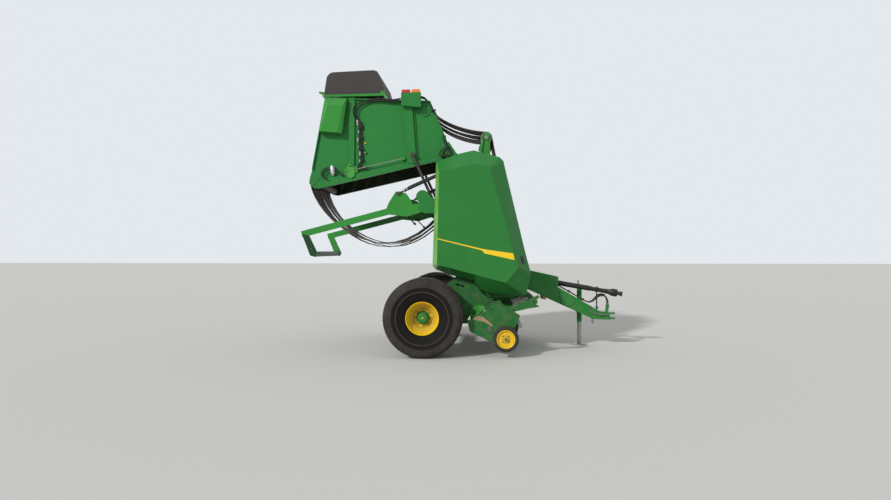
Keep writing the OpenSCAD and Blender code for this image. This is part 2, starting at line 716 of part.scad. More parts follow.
// Gusset plate that stands beside the cylinder's eye
module push_gusset() {
  polygon([on_arm(500, arm_low + arm_h - 1), push_cyl_eye + [-123, -110], push_cyl_eye + [-34, 24],
    push_cyl_eye + [24, 28], push_cyl_eye + [114, -4], on_arm(130, 100), on_arm(140, 60), on_arm(480, 60)]);
}

// Foot that reaches down to the cross tube
module push_foot() {
  polygon([on_arm(arm_len, arm_low + 60), on_arm(arm_len - 90, arm_low), bracket_foot + [55, 10],
    bracket_foot + [30, -40], bracket_foot + [-45, -20]]);
}

module push_arms() color(bright_green) both_sides() {
  difference() {
    across(arm_y, arm_y + arm_w) {
      push_arm_profile();
      push_foot();
    }
    cross_rod(push_pivot, push_pin_r + run_gap, arm_y - 1, arm_y + arm_w + 1);
  }
  across(arm_y, arm_y + 5) push_gusset();
}

module push_tube() color(rubber)
  cross_rod(bracket_foot, push_tube_r, -arm_y + run_gap, arm_y - run_gap);

// CYLINDERS

module cylinder_barrel(base, eye, closed, y, r, rod_r, pin_r) {
  u = (eye - base) / dist(eye, base);
  top = base + u * closed;
  difference() {
    union() {
      side_rod(base + u * 30, top, r, y);
      across(y - 18, y + 18) translate(base) circle(r = pin_r + 16);
      side_rod(base, base + u * 40, r * 0.7, y);
    }
    cross_rod(base, pin_r + run_gap, y - 60, y + 60);
    side_rod(base + u * 90, top + u * 10, rod_r + run_gap, y);
  }
}

module cylinder_rod(base, eye, start, y, rod_r, pin_r, eye_half) {
  u = (eye - base) / dist(eye, base);
  side_rod(base + u * start, eye - u * 10, rod_r, y);
  across(y - eye_half, y + eye_half) translate(eye) circle(r = pin_r + 12);
  cross_rod(eye, pin_r, y - eye_half, y + eye_half + 6);
}

gate_cyl_closed = 930;
push_cyl_closed = 860;
push_stroke = 205;
rod_hold = 60;

module gate_barrel(side) color(hydraulic_black) sided(side)
  cylinder_barrel(gate_cyl_base, gate_cyl_eye, gate_cyl_closed, gate_cyl_y, gate_cyl_r, gate_cyl_rod_r, gate_cyl_pin_r);
module gate_rod(side) color(steel) sided(side)
  cylinder_rod(gate_cyl_base, gate_cyl_eye, gate_cyl_closed - rod_hold, gate_cyl_y, gate_cyl_rod_r, gate_cyl_pin_r, 18);
module push_barrel(side) color(hydraulic_black) sided(side)
  cylinder_barrel(push_cyl_base, push_cyl_eye, push_cyl_closed, push_cyl_y, push_cyl_r, push_cyl_rod_r, push_cyl_pin_r);
module push_rod(side) color(hydraulic_black) sided(side)
  cylinder_rod(push_cyl_base, push_cyl_eye, push_cyl_closed - push_stroke - rod_hold, push_cyl_y, push_cyl_rod_r, push_cyl_pin_r, 9);

// FRONT

module front_panel() color(green) difference() {
  across(-shield_rim_y + 14, shield_rim_y - 14) polygon([
    [984.6, 2560], [1010 + seat, 2450], [1265 + seat, 1340], [1330 + seat, 1080], [1337, 1080], [1272, 1340],
    [1017, 2450], [992, 2560]]);
  // louvres
  for (k = [0:6])
    translate([1200 - k * 14, -260, 1560 + k * 60]) cube([90, 520, 26]);
}

tongue_side = [
  [tongue_root, 1100], [1446, 1090], [1840, 1002], [1829, 860], [2440, 505], [2560, 492], [2560, 388],
  [2344, 397], [1422, 815], [tongue_root, 840]
];

tongue_tip_half = 75;
tongue_taper = [1850, 2450];
tongue_end = 2560;
function tongue_half(x) = tongue_w / 2
  - (tongue_w / 2 - tongue_tip_half) * (x - tongue_taper[0]) / (tongue_taper[1] - tongue_taper[0]);
jack_tongue_y = tongue_half(jack_x - 50) + seat;

module half_plan(t) polygon([[1300, 0], [1300, tongue_w / 2 - t], [tongue_taper[0], tongue_w / 2 - t],
  [tongue_taper[1], tongue_tip_half - t], [tongue_end, tongue_tip_half - t], [tongue_end, 0]]);
module tongue_plan(t) {
  half_plan(t);
  mirror([0, 1]) half_plan(t);
}

module tongue() color(green) difference() {
  intersection() {
    across(-tongue_w / 2, tongue_w / 2) polygon(tongue_side);
    linear_extrude(height = 1300) tongue_plan(0);
  }
  intersection() {
    across(-tongue_w / 2, tongue_w / 2) polygon([
      [1330, 1088], [1440, 1078], [1860, 988], [1860, 846], [2430, 494], [2530, 480], [2530, 400],
      [2344, 409], [1422, 829], [1330, 852]]);
    linear_extrude(height = 1300) tongue_plan(tongue_t);
  }
  rod3(pto_from, pto_from + (pto_to - pto_from) * 0.25, 75);
}

module hitch() color(green) difference() {
  union() {
    for (z = [hitch_z - 48, hitch_z + 24]) {
      translate([tongue_end, -48, z]) cube([hitch_x - tongue_end, 96, 24]);
      translate([hitch_x, 0, z]) cylinder(r = 48, h = 24);
    }
    translate([tongue_end, -60, hitch_z - 48]) cube([16, 120, 96]);
  }
  translate([hitch_x, 0, hitch_z - 100]) cylinder(r = hitch_pin_r, h = 200);
}

jack_y = 205;
jack_r = 36;
jack_in_r = 29;
module jack_tube() color(green) {
  translate([jack_x, jack_y, 0]) difference() {
    translate([0, 0, 330]) cylinder(r = jack_r, h = 530);
    translate([0, 0, 300]) cylinder(r = jack_in_r, h = 540);
  }
  // bracket on the tongue's side
  difference() {
    translate([jack_x - 50, jack_tongue_y, 470]) cube([100, jack_y - jack_tongue_y, 90]);
    translate([jack_x, jack_y, 400]) cylinder(r = jack_in_r, h = 300);
  }
  rod3([jack_x, jack_y, 860], [jack_x, jack_y, 885], 14);
  rod3([jack_x, jack_y - 8, 875], [jack_x, jack_y + 130, 875], 9);
  rod3([jack_x, jack_y + 124, 875], [jack_x, jack_y + 124, 935], 9);
}

module jack_leg() color(steel) {
  translate([jack_x, jack_y, 6]) cylinder(r = jack_in_r - run_gap, h = 470);
  translate([jack_x - 100, jack_y - 80, 0]) cube([200, 160, 12]);
}

module gearbox() color(hydraulic_black) {
  translate([tongue_root + seat, -90, 865]) cube([250, 180, 130]);
  rod3([1580, 0, 938 + 110 * drive_fall], pto_from - [seat, 0, -seat * drive_fall], 30);
  rod3([1680, 0, 938 + 10 * drive_fall], pto_from + [40, 0, -40 * drive_fall], 14);
}

pto_from = [1690, 0, 938];
pto_to = [2761, 0, 752];
pto_r = 36;
// Fall of the drive shaft for each millimetre forwards
drive_fall = (pto_from[2] - pto_to[2]) / (pto_to[0] - pto_from[0]);
module driveline() color(hydraulic_black) {
  u = (pto_to - pto_from) / norm(pto_to - pto_from);
  difference() {
    rod3(pto_from, pto_to - u * 40, pto_r - 12);
    rod3(pto_from - u, pto_from + u * 45, 14 + run_gap);
  }
  rod3(pto_from + u * 130, pto_to - u * 110, pto_r);
  rod3(pto_from + u * 50, pto_from + u * 170, pto_r + 18);
  rod3(pto_to - u * 150, pto_to - u * 50, pto_r + 18);
  rod3(pto_to - u * 60, pto_to, pto_r);
}

module chain_drive() color(steel) both_sides() {
  y0 = sheet_out + 34 + seat;
  for (row = sprockets) cross_rod(row[0], row[1], y0, y0 + 8);
  across(y0 + 1, y0 + 7) difference() {
    polygon(chain_line(chain_grow + 8));
    polygon(chain_line(chain_grow));
  }
}
sprockets = [[starter, 92], [roll_feed, 66], [roll_front_low, 84]];
chain_grow = 1;
// Tight loop round the three sprockets
function chain_line(g) = [for (i = [0:2])
  let (p = sprockets[(i + 2) % 3], q = sprockets[i], n = sprockets[(i + 1) % 3],
    a0 = tangent(p, q), a1 = tangent(q, n), a2 = a1 < a0 ? a1 + 360 : a1)
  each [for (k = [0:8]) let (a = a0 + (a2 - a0) * k / 8) q[0] + [cos(a), sin(a)] * (q[1] + g)]];
function tangent(p, q) = heading(p[0], q[0]) - 90 + asin((p[1] - q[1]) / dist(p[0], q[0]));

// PICKUP

pickup_pin_r = 22;
arm_plate = [sheet_out + 5, sheet_out + 17];
wind_pivot = [1120, 612];
reel_at = [1065, 385];
auger_at = [720, 540];
// Tube across the pickup behind the reel
strut_at = [820, 278];
strut_r = 34;
pickup_half = pickup_w / 2;
gauge_at = [1063, 247];
gauge_y = pickup_half + 100;

module pickup_frame() color(green) {
  y1 = pickup_half + 8;
  both_sides() {
    across(pickup_half, y1) difference() {
      union() {
        polygon([[565, 472], [718, 540], [718, 578], [887, 721], [991, 735], [1016, 689], [1249, 541],
          [1185, 386], [1000, 330], [960, 200], [888, 188], [600, 330]]);
        translate(wind_pivot) circle(r = 40);
      }
      translate([790, 600]) circle(r = 20);
    }
    across(y1, y1 + 14) polygon([[718, 578], [887, 721], [991, 735], [1016, 689], [1249, 541], [1243, 530],
      [1010, 677], [985, 722], [892, 709], [728, 570]]);
    // stubs that the reel, the auger and the wind guard turn on
    cross_rod(reel_at, stub_r, pickup_half - 40, pickup_half);
    cross_rod(auger_at, stub_r, pickup_half - auger_hold, pickup_half);
    cross_rod(wind_pivot, 12, pickup_half - 30, pickup_half);
    // gauge wheel's spindle and its plate
    cross_rod(gauge_at, 15, y1, gauge_y + gauge_w / 2 + 4);
    across(y1, y1 + 12) polygon([[1000, 205], [1125, 205], [1130, 330], [1090, 400], [1010, 340]]);
    // arms on the frame's pins
    difference() {
      across(arm_plate[0], arm_plate[1]) union() {
        translate(pickup_pivot) circle(r = 42);
        polygon([[665, 620], [738, 618], [770, 560], strut_at + [16, 60], strut_at + [16, -30],
          strut_at + [-30, -38], [655, 375], [612, 395], [612, 425]]);
      }
      cross_rod(pickup_pivot, pickup_pin_r + run_gap, arm_plate[0] - 1, arm_plate[1] + 1);
    }
  }
  cross_rod(strut_at, strut_r, -pickup_half, pickup_half);
  cross_rod([642, 406], 24, -pickup_half, pickup_half);
}

band_r = reel_r - 62;
stub_r = 18;
// Length of the stub that carries an auger from its outer end
auger_hold = 200;
module pickup_bands() color(green) {
  n = floor((pickup_w - 60) / tine_pitch);
  for (i = [0:n]) {
    y = -n * tine_pitch / 2 + i * tine_pitch;
    across(y - 28, y + 28) difference() {
      union() {
        translate(reel_at) circle(r = band_r);
        polygon([reel_at + [10, band_r], [868, 552], [858, 512], reel_at + [-100, 80]]);
        polygon([reel_at + [-60, -100], strut_at + [18, 18], strut_at + [18, -20], reel_at + [-10, -band_r]]);
      }
      translate(reel_at) circle(r = band_r - 4);
      polygon([reel_at + [-140, 70], reel_at + [-140, -60], reel_at + [-200, -60], reel_at + [-200, 70]]);
      translate(strut_at) circle(r = strut_r + seat);
    }
  }
}

module wind_guard() color(green) {
  y0 = pickup_half - 26;
  both_sides() difference() {
    across(y0, y0 + 12) union() {
      translate(wind_pivot) circle(r = 34);
      polygon([[1090, 625], [1130, 645], [1175, 655], [1480, 805], [1500, 770], [1407, 718], [1500, 652],
        [1341, 625], [1150, 580]]);
    }
    cross_rod(wind_pivot, 12 + run_gap, y0 - 1, y0 + 20);
  }
  cross_rod([1440, 718], 36, -y0 - 2, y0 + 2);
  // fingers that reach back over the reel
  for (i = [0:9]) {
    y = -pickup_half + 130 + i * (pickup_w - 260) / 9;
    side_rod([1430, 700], [1180, 625], 8, y);
    side_rod([1182, 626], [980, 640], 8, y);
  }
}

module pickup_reel() color(steel) {
  y1 = pickup_half - 5;
  difference() {
    cross_rod(reel_at, 32, -y1, y1);
    both_sides() cross_rod(reel_at, stub_r + run_gap, y1 - 50, y1 + 1);
  }
  n = floor((pickup_w - 60) / tine_pitch) - 1;
  // end discs and a middle disc carry the tine bars
  for (y = [-y1, -4, y1 - 8]) translate([reel_at[0], y, reel_at[1]]) rotate([-90, 0, 0]) difference() {
    cylinder(r = 128, h = 8);
    translate([0, 0, -1]) cylinder(r = 32, h = 10);
  }
  for (b = [0:tine_bars - 1])
    translate([reel_at[0], 0, reel_at[1]]) rotate([0, b * 360 / tine_bars + 20, 0]) {
      translate([0, -y1, 110]) rotate([-90, 0, 0]) cylinder(r = 14, h = 2 * y1);
      for (i = [0:n])
        translate([0, -n * tine_pitch / 2 + i * tine_pitch, 110]) cylinder(r = tine_r, h = reel_r - 110);
    }
}

module feed_augers() color(steel) both_sides() difference() {
  y0 = housing_out + 10;
  y1 = pickup_half - 5;
  flights = 4;
  union() {
    cross_rod(auger_at, 45, y0, y1);
    for (k = [0:flights - 1])
      cross_rod(auger_at, auger_r, y0 + 12 + k * (y1 - y0 - 32) / (flights - 1),
        y0 + 20 + k * (y1 - y0 - 32) / (flights - 1));
  }
  cross_rod(auger_at, stub_r + run_gap, y1 - auger_hold, y1 + 1);
}

module gauge_tyre(side) color(rubber) translate([gauge_at[0], side * gauge_y, gauge_at[1]]) spin_y()
  polygon([[118, -40], [gauge_r - 14, -gauge_w / 2], [gauge_r, -gauge_w / 2 + 16],
    [gauge_r, gauge_w / 2 - 16], [gauge_r - 14, gauge_w / 2], [118, 40]]);

module gauge_rim(side) color(yellow) translate([gauge_at[0], side * gauge_y, gauge_at[1]]) sided(side) difference() {
  spin_y() polygon([[0, -46], [30, -46], [34, 0], [90, 8], [104, -36], [118 - run_gap, -40],
    [118 - run_gap, 40], [104, 38], [90, 18], [34, 14], [30, 46], [0, 46]]);
  translate([0, -60, 0]) rotate([-90, 0, 0]) cylinder(r = 15 + run_gap, h = 120);
}

// The machine's rear and front ends, whose middle is the origin
x_rear = on_arm(arm_len, arm_low + arm_h)[0];
x_front = pto_to[0] + pto_r * (pto_from[2] - pto_to[2]) / norm(pto_to - pto_from);
centre_x = (x_rear + x_front) / 2;
module placed() { translate([-centre_x, 0, 0]) children(); }

placed() side_sheet(-1);  // side_sheet_right
placed() side_sheet(1);  // side_sheet_left
placed() brackets(-1);  // brackets_right
placed() brackets(1);  // brackets_left
placed() cross_frame();
placed() axle_plates();
placed() axle();
placed() tongue();
placed() hitch();
placed() jack_tube();
placed() jack_leg();
placed() gearbox();
placed() driveline();
placed() front_panel();
placed() frame_rolls();
placed() roll_tower();
placed() belts_frame();
placed() belts_upper();
placed() belts_slack();
placed() chain_drive();
placed() shield(-1);  // shield_right
placed() shield(1);  // shield_left
placed() gate_side(-1);  // gate_side_right
placed() gate_side(1);  // gate_side_left
placed() gate_bosses();
placed() gate_cross();
placed() gate_rolls();
placed() belts_gate();
placed() lamp_brackets();
placed() lamps_red();
placed() lamps_amber();
placed() gate_valves();
placed() latch_rods();
placed() net_box();
placed() net_cover();
placed() push_arms();
placed() push_tube();
placed() gate_barrel(-1);  // gate_barrel_right
placed() gate_barrel(1);  // gate_barrel_left
placed() gate_rod(-1);  // gate_rod_right
placed() gate_rod(1);  // gate_rod_left
placed() push_barrel(-1);  // push_barrel_right
placed() push_barrel(1);  // push_barrel_left
placed() push_rod(-1);  // push_rod_right
placed() push_rod(1);  // push_rod_left
placed() pickup_frame();
placed() pickup_bands();
placed() wind_guard();
placed() pickup_reel();
placed() feed_augers();
placed() gauge_tyre(-1);  // gauge_tyre_right
placed() gauge_tyre(1);  // gauge_tyre_left
placed() gauge_rim(-1);  // gauge_rim_right
placed() gauge_rim(1);  // gauge_rim_left
placed() tyre(-1);  // tyre_right
placed() tyre(1);  // tyre_left
placed() rim(-1);  // rim_right
placed() rim(1);  // rim_left
placed() hub(-1);  // hub_right
placed() hub(1);  // hub_left
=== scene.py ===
# %% [markdown]
# # A round baler with its gate raised
#
# This lesson dresses the imported model of a round baler: two wheels, a bale chamber between two
# side sheets, and a rear gate that swings up on one hinge. Everything that is added here, except
# the two belt runs that bridge the open joint, rides on one of those bodies too, so the finished
# machine still opens, lifts and rolls.

# %% Load the frame
import json
from math import atan2, cos, pi, radians, sin, tau

import bmesh
import bpy
from mathutils import Matrix, Vector
from mathutils.bvhtree import BVHTree

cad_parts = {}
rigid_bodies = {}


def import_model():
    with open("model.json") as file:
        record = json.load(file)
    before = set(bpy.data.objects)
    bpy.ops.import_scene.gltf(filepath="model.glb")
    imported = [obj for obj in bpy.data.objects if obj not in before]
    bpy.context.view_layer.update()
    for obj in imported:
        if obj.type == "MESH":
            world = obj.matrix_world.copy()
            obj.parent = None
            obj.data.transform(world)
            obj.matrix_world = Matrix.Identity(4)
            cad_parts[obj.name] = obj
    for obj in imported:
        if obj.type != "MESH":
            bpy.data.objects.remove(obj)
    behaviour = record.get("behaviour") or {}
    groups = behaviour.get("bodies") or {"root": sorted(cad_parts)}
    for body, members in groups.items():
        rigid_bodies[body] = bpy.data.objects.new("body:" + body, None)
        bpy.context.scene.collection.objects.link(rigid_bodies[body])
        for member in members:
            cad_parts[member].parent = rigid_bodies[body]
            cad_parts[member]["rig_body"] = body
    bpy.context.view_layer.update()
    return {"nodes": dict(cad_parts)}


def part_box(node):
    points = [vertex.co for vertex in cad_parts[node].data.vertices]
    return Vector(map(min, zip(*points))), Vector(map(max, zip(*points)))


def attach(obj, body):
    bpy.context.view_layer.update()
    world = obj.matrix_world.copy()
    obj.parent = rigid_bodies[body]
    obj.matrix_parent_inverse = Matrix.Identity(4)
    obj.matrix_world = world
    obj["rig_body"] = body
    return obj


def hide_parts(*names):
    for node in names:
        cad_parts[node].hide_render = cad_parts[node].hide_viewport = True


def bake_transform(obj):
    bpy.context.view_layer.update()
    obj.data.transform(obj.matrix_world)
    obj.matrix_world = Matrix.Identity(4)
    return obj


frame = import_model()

nodes = frame["nodes"]

# %% [markdown]
# ## Places on the machine
#
# The solids were drawn with X = 0 at the axle and then moved, so that the middle of the machine
# is the origin. The axle's own box tells how far. The gate is drawn as if it were closed, with
# the hinge at its origin, and turned up with one function, which is how a designer thinks of it:
# a hose clip has a place on the gate, whatever the gate does.

# %% Places
MM = 0.001
axle_low, axle_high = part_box("axle")
AXLE_X = (axle_low[0] + axle_high[0]) / 2
HINGE_X, HINGE_Z = 385, 2644  # the gate's hinge in the side view
GATE_OPEN = 77.4  # degrees
HALF_CHAMBER, SHEET_OUT = 585, 593  # inner and outer face of a side sheet, from the middle
WHEEL_Y, TYRE_R = 1090, 512
GAUGE_X, GAUGE_Y, GAUGE_Z = 1063, 1200, 247  # middle of a gauge wheel
OUTSIDE = 1600  # where rays towards the middle start
SIDES = (("right", -1), ("left", 1))


def at(x, y, z):
    """A point in millimetres from the middle of the axle line on the ground."""
    return Vector((AXLE_X + x * MM, y * MM, z * MM))


def raised(x, z):
    """Where a side-view point, given from the hinge with the gate closed, is with it raised."""
    a = radians(GATE_OPEN)
    return HINGE_X + x * cos(a) + z * sin(a), HINGE_Z - x * sin(a) + z * cos(a)


def on_gate(x, y, z):
    """A point on the raised gate, given from the hinge as if the gate were closed."""
    gx, gz = raised(x, z)
    return at(gx, y, gz)


def placed(name, data):
    """A new object in the scene that shows the data."""
    thing = bpy.data.objects.new(name, data)
    bpy.context.scene.collection.objects.link(thing)
    return thing


print("axle line at x =", round(AXLE_X, 4), "m")

# %% [markdown]
# ## Camera
#
# The photograph was taken from the machine's right side, between the axle and the hitch, and
# about 1.4 m above the ground. The place and the lens give the perspective that makes the near
# wheel larger than the far one. The camera stands level, so upright edges stay upright.

# %% Camera
CAMERA_SIDE, CAMERA_AWAY, CAMERA_HEIGHT = 807.2, 9905.6, 1384
CAMERA_TURN = 3.396  # degrees
FOCAL_LENGTH, SENSOR_WIDTH = 27.47, 36
camera_data = bpy.data.cameras.new("camera")
camera_data.lens = FOCAL_LENGTH
camera_data.sensor_width = SENSOR_WIDTH
camera = placed("camera", camera_data)
camera.location = at(CAMERA_SIDE, -CAMERA_AWAY, CAMERA_HEIGHT)
camera.rotation_euler = (radians(90), 0, radians(CAMERA_TURN))
bpy.context.scene.camera = camera
print("camera at", [round(c, 2) for c in camera.location])

# %% [markdown]
# ## Colours and a node helper
#
# Paint makers give a colour as a hex value, which is sRGB. Shaders count in linear light, so one
# function turns one into the other. A second function adds a shader node, fills its inputs and
# links them, because a material is then a short list that reads from its pattern to its surface.

# %% Helpers for materials
def linear(hex_colour):
    """Linear red, green, blue and alpha of an sRGB hex value."""
    channels = [int(hex_colour[i:i + 2], 16) / 255 for i in (1, 3, 5)]
    return [c / 12.92 if c <= 0.04045 else ((c + 0.055) / 1.055) ** 2.4 for c in channels] + [1]


def add(tree, kind, inputs=None, **settings):
    """Adds a node; an input may be a number, a colour or another node's socket."""
    node = tree.nodes.new(kind)
    for key, value in settings.items():
        setattr(node, key, value)
    for key, value in (inputs or {}).items():
        if isinstance(value, bpy.types.NodeSocket):
            tree.links.new(value, node.inputs[key])
        else:
            node.inputs[key].default_value = value
    return node


def new_material(name):
    material = bpy.data.materials.new(name)
    material.use_nodes = True
    material.node_tree.nodes.clear()
    return material, material.node_tree


def surface(tree, **inputs):
    """Ends a material with the general surface shader."""
    shader = add(tree, "ShaderNodeBsdfPrincipled",
                 {label.replace("_", " "): value for label, value in inputs.items()})
    add(tree, "ShaderNodeOutputMaterial", {"Surface": shader.outputs["BSDF"]})
    return shader


def noise(tree, size, detail=3.0, roughness=0.55, vector=None):
    """A noise pattern whose patches are about `size` metres across."""
    place = vector or add(tree, "ShaderNodeTexCoord").outputs["Object"]
    return add(tree, "ShaderNodeTexNoise", {"Vector": place, "Scale": 1 / size, "Detail": detail,
                                            "Roughness": roughness}).outputs["Fac"]


def ramp(tree, value, low, high, to_low=0.0, to_high=1.0):
    """Stretches the range low to high of a value over to_low to to_high."""
    return add(tree, "ShaderNodeMapRange", {"Value": value, "From Min": low, "From Max": high,
                                            "To Min": to_low, "To Max": to_high}).outputs["Result"]


def mix(tree, share, first, second, blend="MIX"):
    """Mixes two colours; on this node, 0, 6 and 7 are the sockets of share and colours."""
    return add(tree, "ShaderNodeMix", {0: share, 6: first, 7: second}, data_type="RGBA",
               blend_type=blend).outputs[2]


def math(tree, operation, first, second=0.0):
    """One step of arithmetic; a step that needs one value leaves out the second."""
    return add(tree, "ShaderNodeMath", {0: first, 1: second}, operation=operation).outputs[0]


def place_parts(tree):
    """X, Y and Z of the shaded place, in metres, as sockets."""
    place = add(tree, "ShaderNodeTexCoord").outputs["Object"]
    return add(tree, "ShaderNodeSeparateXYZ", {"Vector": place}).outputs


def bump(tree, value, depth, strength=1.0):
    return add(tree, "ShaderNodeBump", {"Height": value, "Distance": depth,
                                        "Strength": strength}).outputs["Normal"]


# %% [markdown]
# ## Painted steel
#
# Most of the machine is folded steel sheet with a baked enamel over it. Enamel shows three
# things: broad patches where sun and rain have changed it, a skin of field dust that grows
# towards the ground, and a faint ripple, called orange peel, from the spraying. The ripple is a
# few millimetres long. The dust is dry, so it is rougher than the paint.

# %% Painted steel
DUST = linear("#8c8268")
WEATHER_PATCH, DUST_STREAK, ORANGE_PEEL = 0.9, 0.11, 0.006  # sizes of the patterns in metres
DUST_TOP, DUST_BOTTOM = 1.7, 0.15  # heights between which the dust grows, in metres
PEEL_DEPTH = 0.0002


def painted(name, hex_colour, roughness=0.36, dust=0.22, patch=0.08, peel=ORANGE_PEEL):
    material, tree = new_material(name)
    patches = ramp(tree, noise(tree, WEATHER_PATCH), 0.3, 0.7, 1 - patch, 1 + patch)
    shade = mix(tree, 1.0, linear(hex_colour), patches, "MULTIPLY")
    low_down = ramp(tree, place_parts(tree)["Z"], DUST_TOP, DUST_BOTTOM, 0.12, 1.0)
    streaks = ramp(tree, noise(tree, DUST_STREAK, 5, 0.7), 0.42, 0.72)
    film = math(tree, "MULTIPLY", math(tree, "MULTIPLY", low_down, streaks), dust)
    surface(tree, Base_Color=mix(tree, film, shade, DUST),
            Roughness=math(tree, "ADD", film, roughness),
            Normal=bump(tree, noise(tree, peel, 1), PEEL_DEPTH, 0.35),
            Specular_IOR_Level=0.25, Coat_Weight=0.03, Coat_Roughness=0.2)
    return material


green_enamel = painted("green enamel on steel", "#207631")
dark_green_enamel = painted("green enamel in the shade of the chamber", "#1d5a28", 0.45, 0.4)
# Painted shade: this dark green stands for the shade on faces that look away from the sun, on the
# forward side of the gate's rib and on the outer side of the push bar's feet.
painted_shade_enamel = painted("green enamel darkened as painted shade", "#103a18", 0.6, 0.1)
# Dust and painted shade: a darker green with more dust for the parts low on the machine that lie in
# the shields' shade.
dust_and_shade_enamel = painted("green enamel under dust, low on the machine", "#1b6229", 0.42, 0.3)
# A nearly black green for the faces inside the chamber and for the gate's cross members.
nearly_black_inner_enamel = painted("green enamel, nearly black inside the chamber", "#27341f", 0.62, 0.5)
# Painted sunlight: a lighter copy of the green enamel for the push arms, the net box and its wing
# panels, the bosses, the roll tower, the latch and the augers.
painted_sunlight_enamel = painted("green enamel on the arms, lightened as painted sunlight", "#308732", 0.32, 0.12)
# Painted highlight: a lighter green for the latch hooks, where the sun catches them.
highlight_hook_enamel = painted("light green enamel on the latch hooks", "#46913a", 0.34, 0.2)
green_plastic = painted("green moulded plastic", "#257530", 0.34, 0.14, 0.04, 0.012)
# Painted highlight: a pale green for the shields' rear walls, where the sun catches them.
painted_highlight_plastic = painted("green moulded plastic, lightened as a painted highlight", "#6fae4c", 0.4, 0.05, 0.04, 0.012)
black_enamel = painted("black enamel on steel", "#1f1f20", 0.38, 0.25)
crop_dust = painted("dry crop dust on a ledge", "#9c8064", 0.9, 0.7, 0.2, 0.003)
reel_paint = painted("dark grey primer on the reel", "#3a3b38", 0.55, 0.5)


def from_axis(tree, centre_x, centre_z):
    """Distance of the shaded place from a wheel's axis, in metres."""
    parts = place_parts(tree)
    x = math(tree, "SUBTRACT", parts["X"], AXLE_X + centre_x * MM)
    z = math(tree, "SUBTRACT", parts["Z"], centre_z * MM)
    squares = math(tree, "ADD", math(tree, "MULTIPLY", x, x), math(tree, "MULTIPLY", z, z))
    return math(tree, "SQRT", squares)


def ring_mark(tree, away, radius, outer, inner, strength=1.0):
    """A ring at a radius that fades between two half-widths; all in metres."""
    off = math(tree, "ABSOLUTE", math(tree, "SUBTRACT", away, radius))
    return ramp(tree, off, outer, inner, 0.0, strength)


WHEEL_YELLOW, WHEEL_DIRT = "#ecc11a", linear("#7d6a3a")
RING_SHARE, DISH_SHARE, THIN_SHARE = 0.62, 0.42, 0.21  # how much dirt covers the paint
DISH_FADE = 8


def ringed(name, centre_x, centre_z, rings, dish):
    """Yellow enamel of a wheel, with rings of dirt at (radius, width) and a dirty dish inside the
    radius dish, in millimetres."""
    material, tree = new_material(name)
    away = from_axis(tree, centre_x, centre_z)
    grime = 0.0
    for radius, width in rings:
        band = ring_mark(tree, away, radius * MM, width * MM, width * 0.35 * MM)
        grime = math(tree, "MAXIMUM", band, grime)
    worn = ramp(tree, noise(tree, 0.02, 5, 0.7), 0.3, 0.75, 0.35, 1.0)
    film = math(tree, "MULTIPLY", math(tree, "MULTIPLY", grime, worn), RING_SHARE)
    thin = math(tree, "MULTIPLY", ramp(tree, noise(tree, 0.07, 5, 0.7), 0.4, 0.75), THIN_SHARE)
    inside = ramp(tree, away, (dish + DISH_FADE) * MM, dish * MM, 0.0, DISH_SHARE)
    film = math(tree, "MAXIMUM", film, inside)
    dirt = math(tree, "MAXIMUM", film, thin)
    surface(tree, Base_Color=mix(tree, dirt, linear(WHEEL_YELLOW), WHEEL_DIRT),
            Roughness=math(tree, "ADD", math(tree, "MULTIPLY", film, 0.4), 0.36),
            Normal=bump(tree, noise(tree, ORANGE_PEEL, 1), PEEL_DEPTH, 0.3),
            Specular_IOR_Level=0.3)
    return material


wheel_yellow = ringed("yellow enamel on the rims", 0, TYRE_R,
                      [(178, 8), (150, 9), (121, 7), (92, 9)], 172)
gauge_yellow = ringed("yellow enamel on the small rims", GAUGE_X, GAUGE_Z, [(97, 8), (34, 7)], 62)
print("paints made")

# %% [markdown]
# ## Rubber, steel and plastic
#
# Tyre rubber is dull, and dust fills its grain. The big tyres are black beside the rim, brown
# with field dust on the tread, and have one pale ring where the sidewall was scuffed. Belt rubber
# is woven inside, and its face is moulded with small diamonds that grip the crop. Zinc on bolts
# and oiled steel on the cylinders' rods scatter light; the rods' dark colour is painted shade.
# The lamps' lenses are clear plastic with fine flutes. The net cover is grained plastic, faded by
# the sun.

# %% Rubber, steel and plastic
RUBBER_GRAIN, GRAIN_DEPTH = 0.004, 0.0006


def rubber(name, hex_colour, dust_share, grain=RUBBER_GRAIN):
    material, tree = new_material(name)
    dusty = ramp(tree, noise(tree, 0.35, 6, 0.6), 0.35, 0.75, 0.02, dust_share)
    surface(tree, Base_Color=mix(tree, dusty, linear(hex_colour), linear("#7d7260")),
            Roughness=0.75, Specular_IOR_Level=0.35,
            Normal=bump(tree, noise(tree, grain, 2), GRAIN_DEPTH, 0.5))
    return material


tyre_rubber = rubber("black tyre rubber", "#211f1e", 0.2)

SHOULDER_FROM, SHOULDER_TO = 0.388, 0.402  # radii in metres where the dust of the shoulder sets in
TREAD_FROM, TREAD_TO = 0.47, 0.51
SCUFF_RADIUS = 0.338


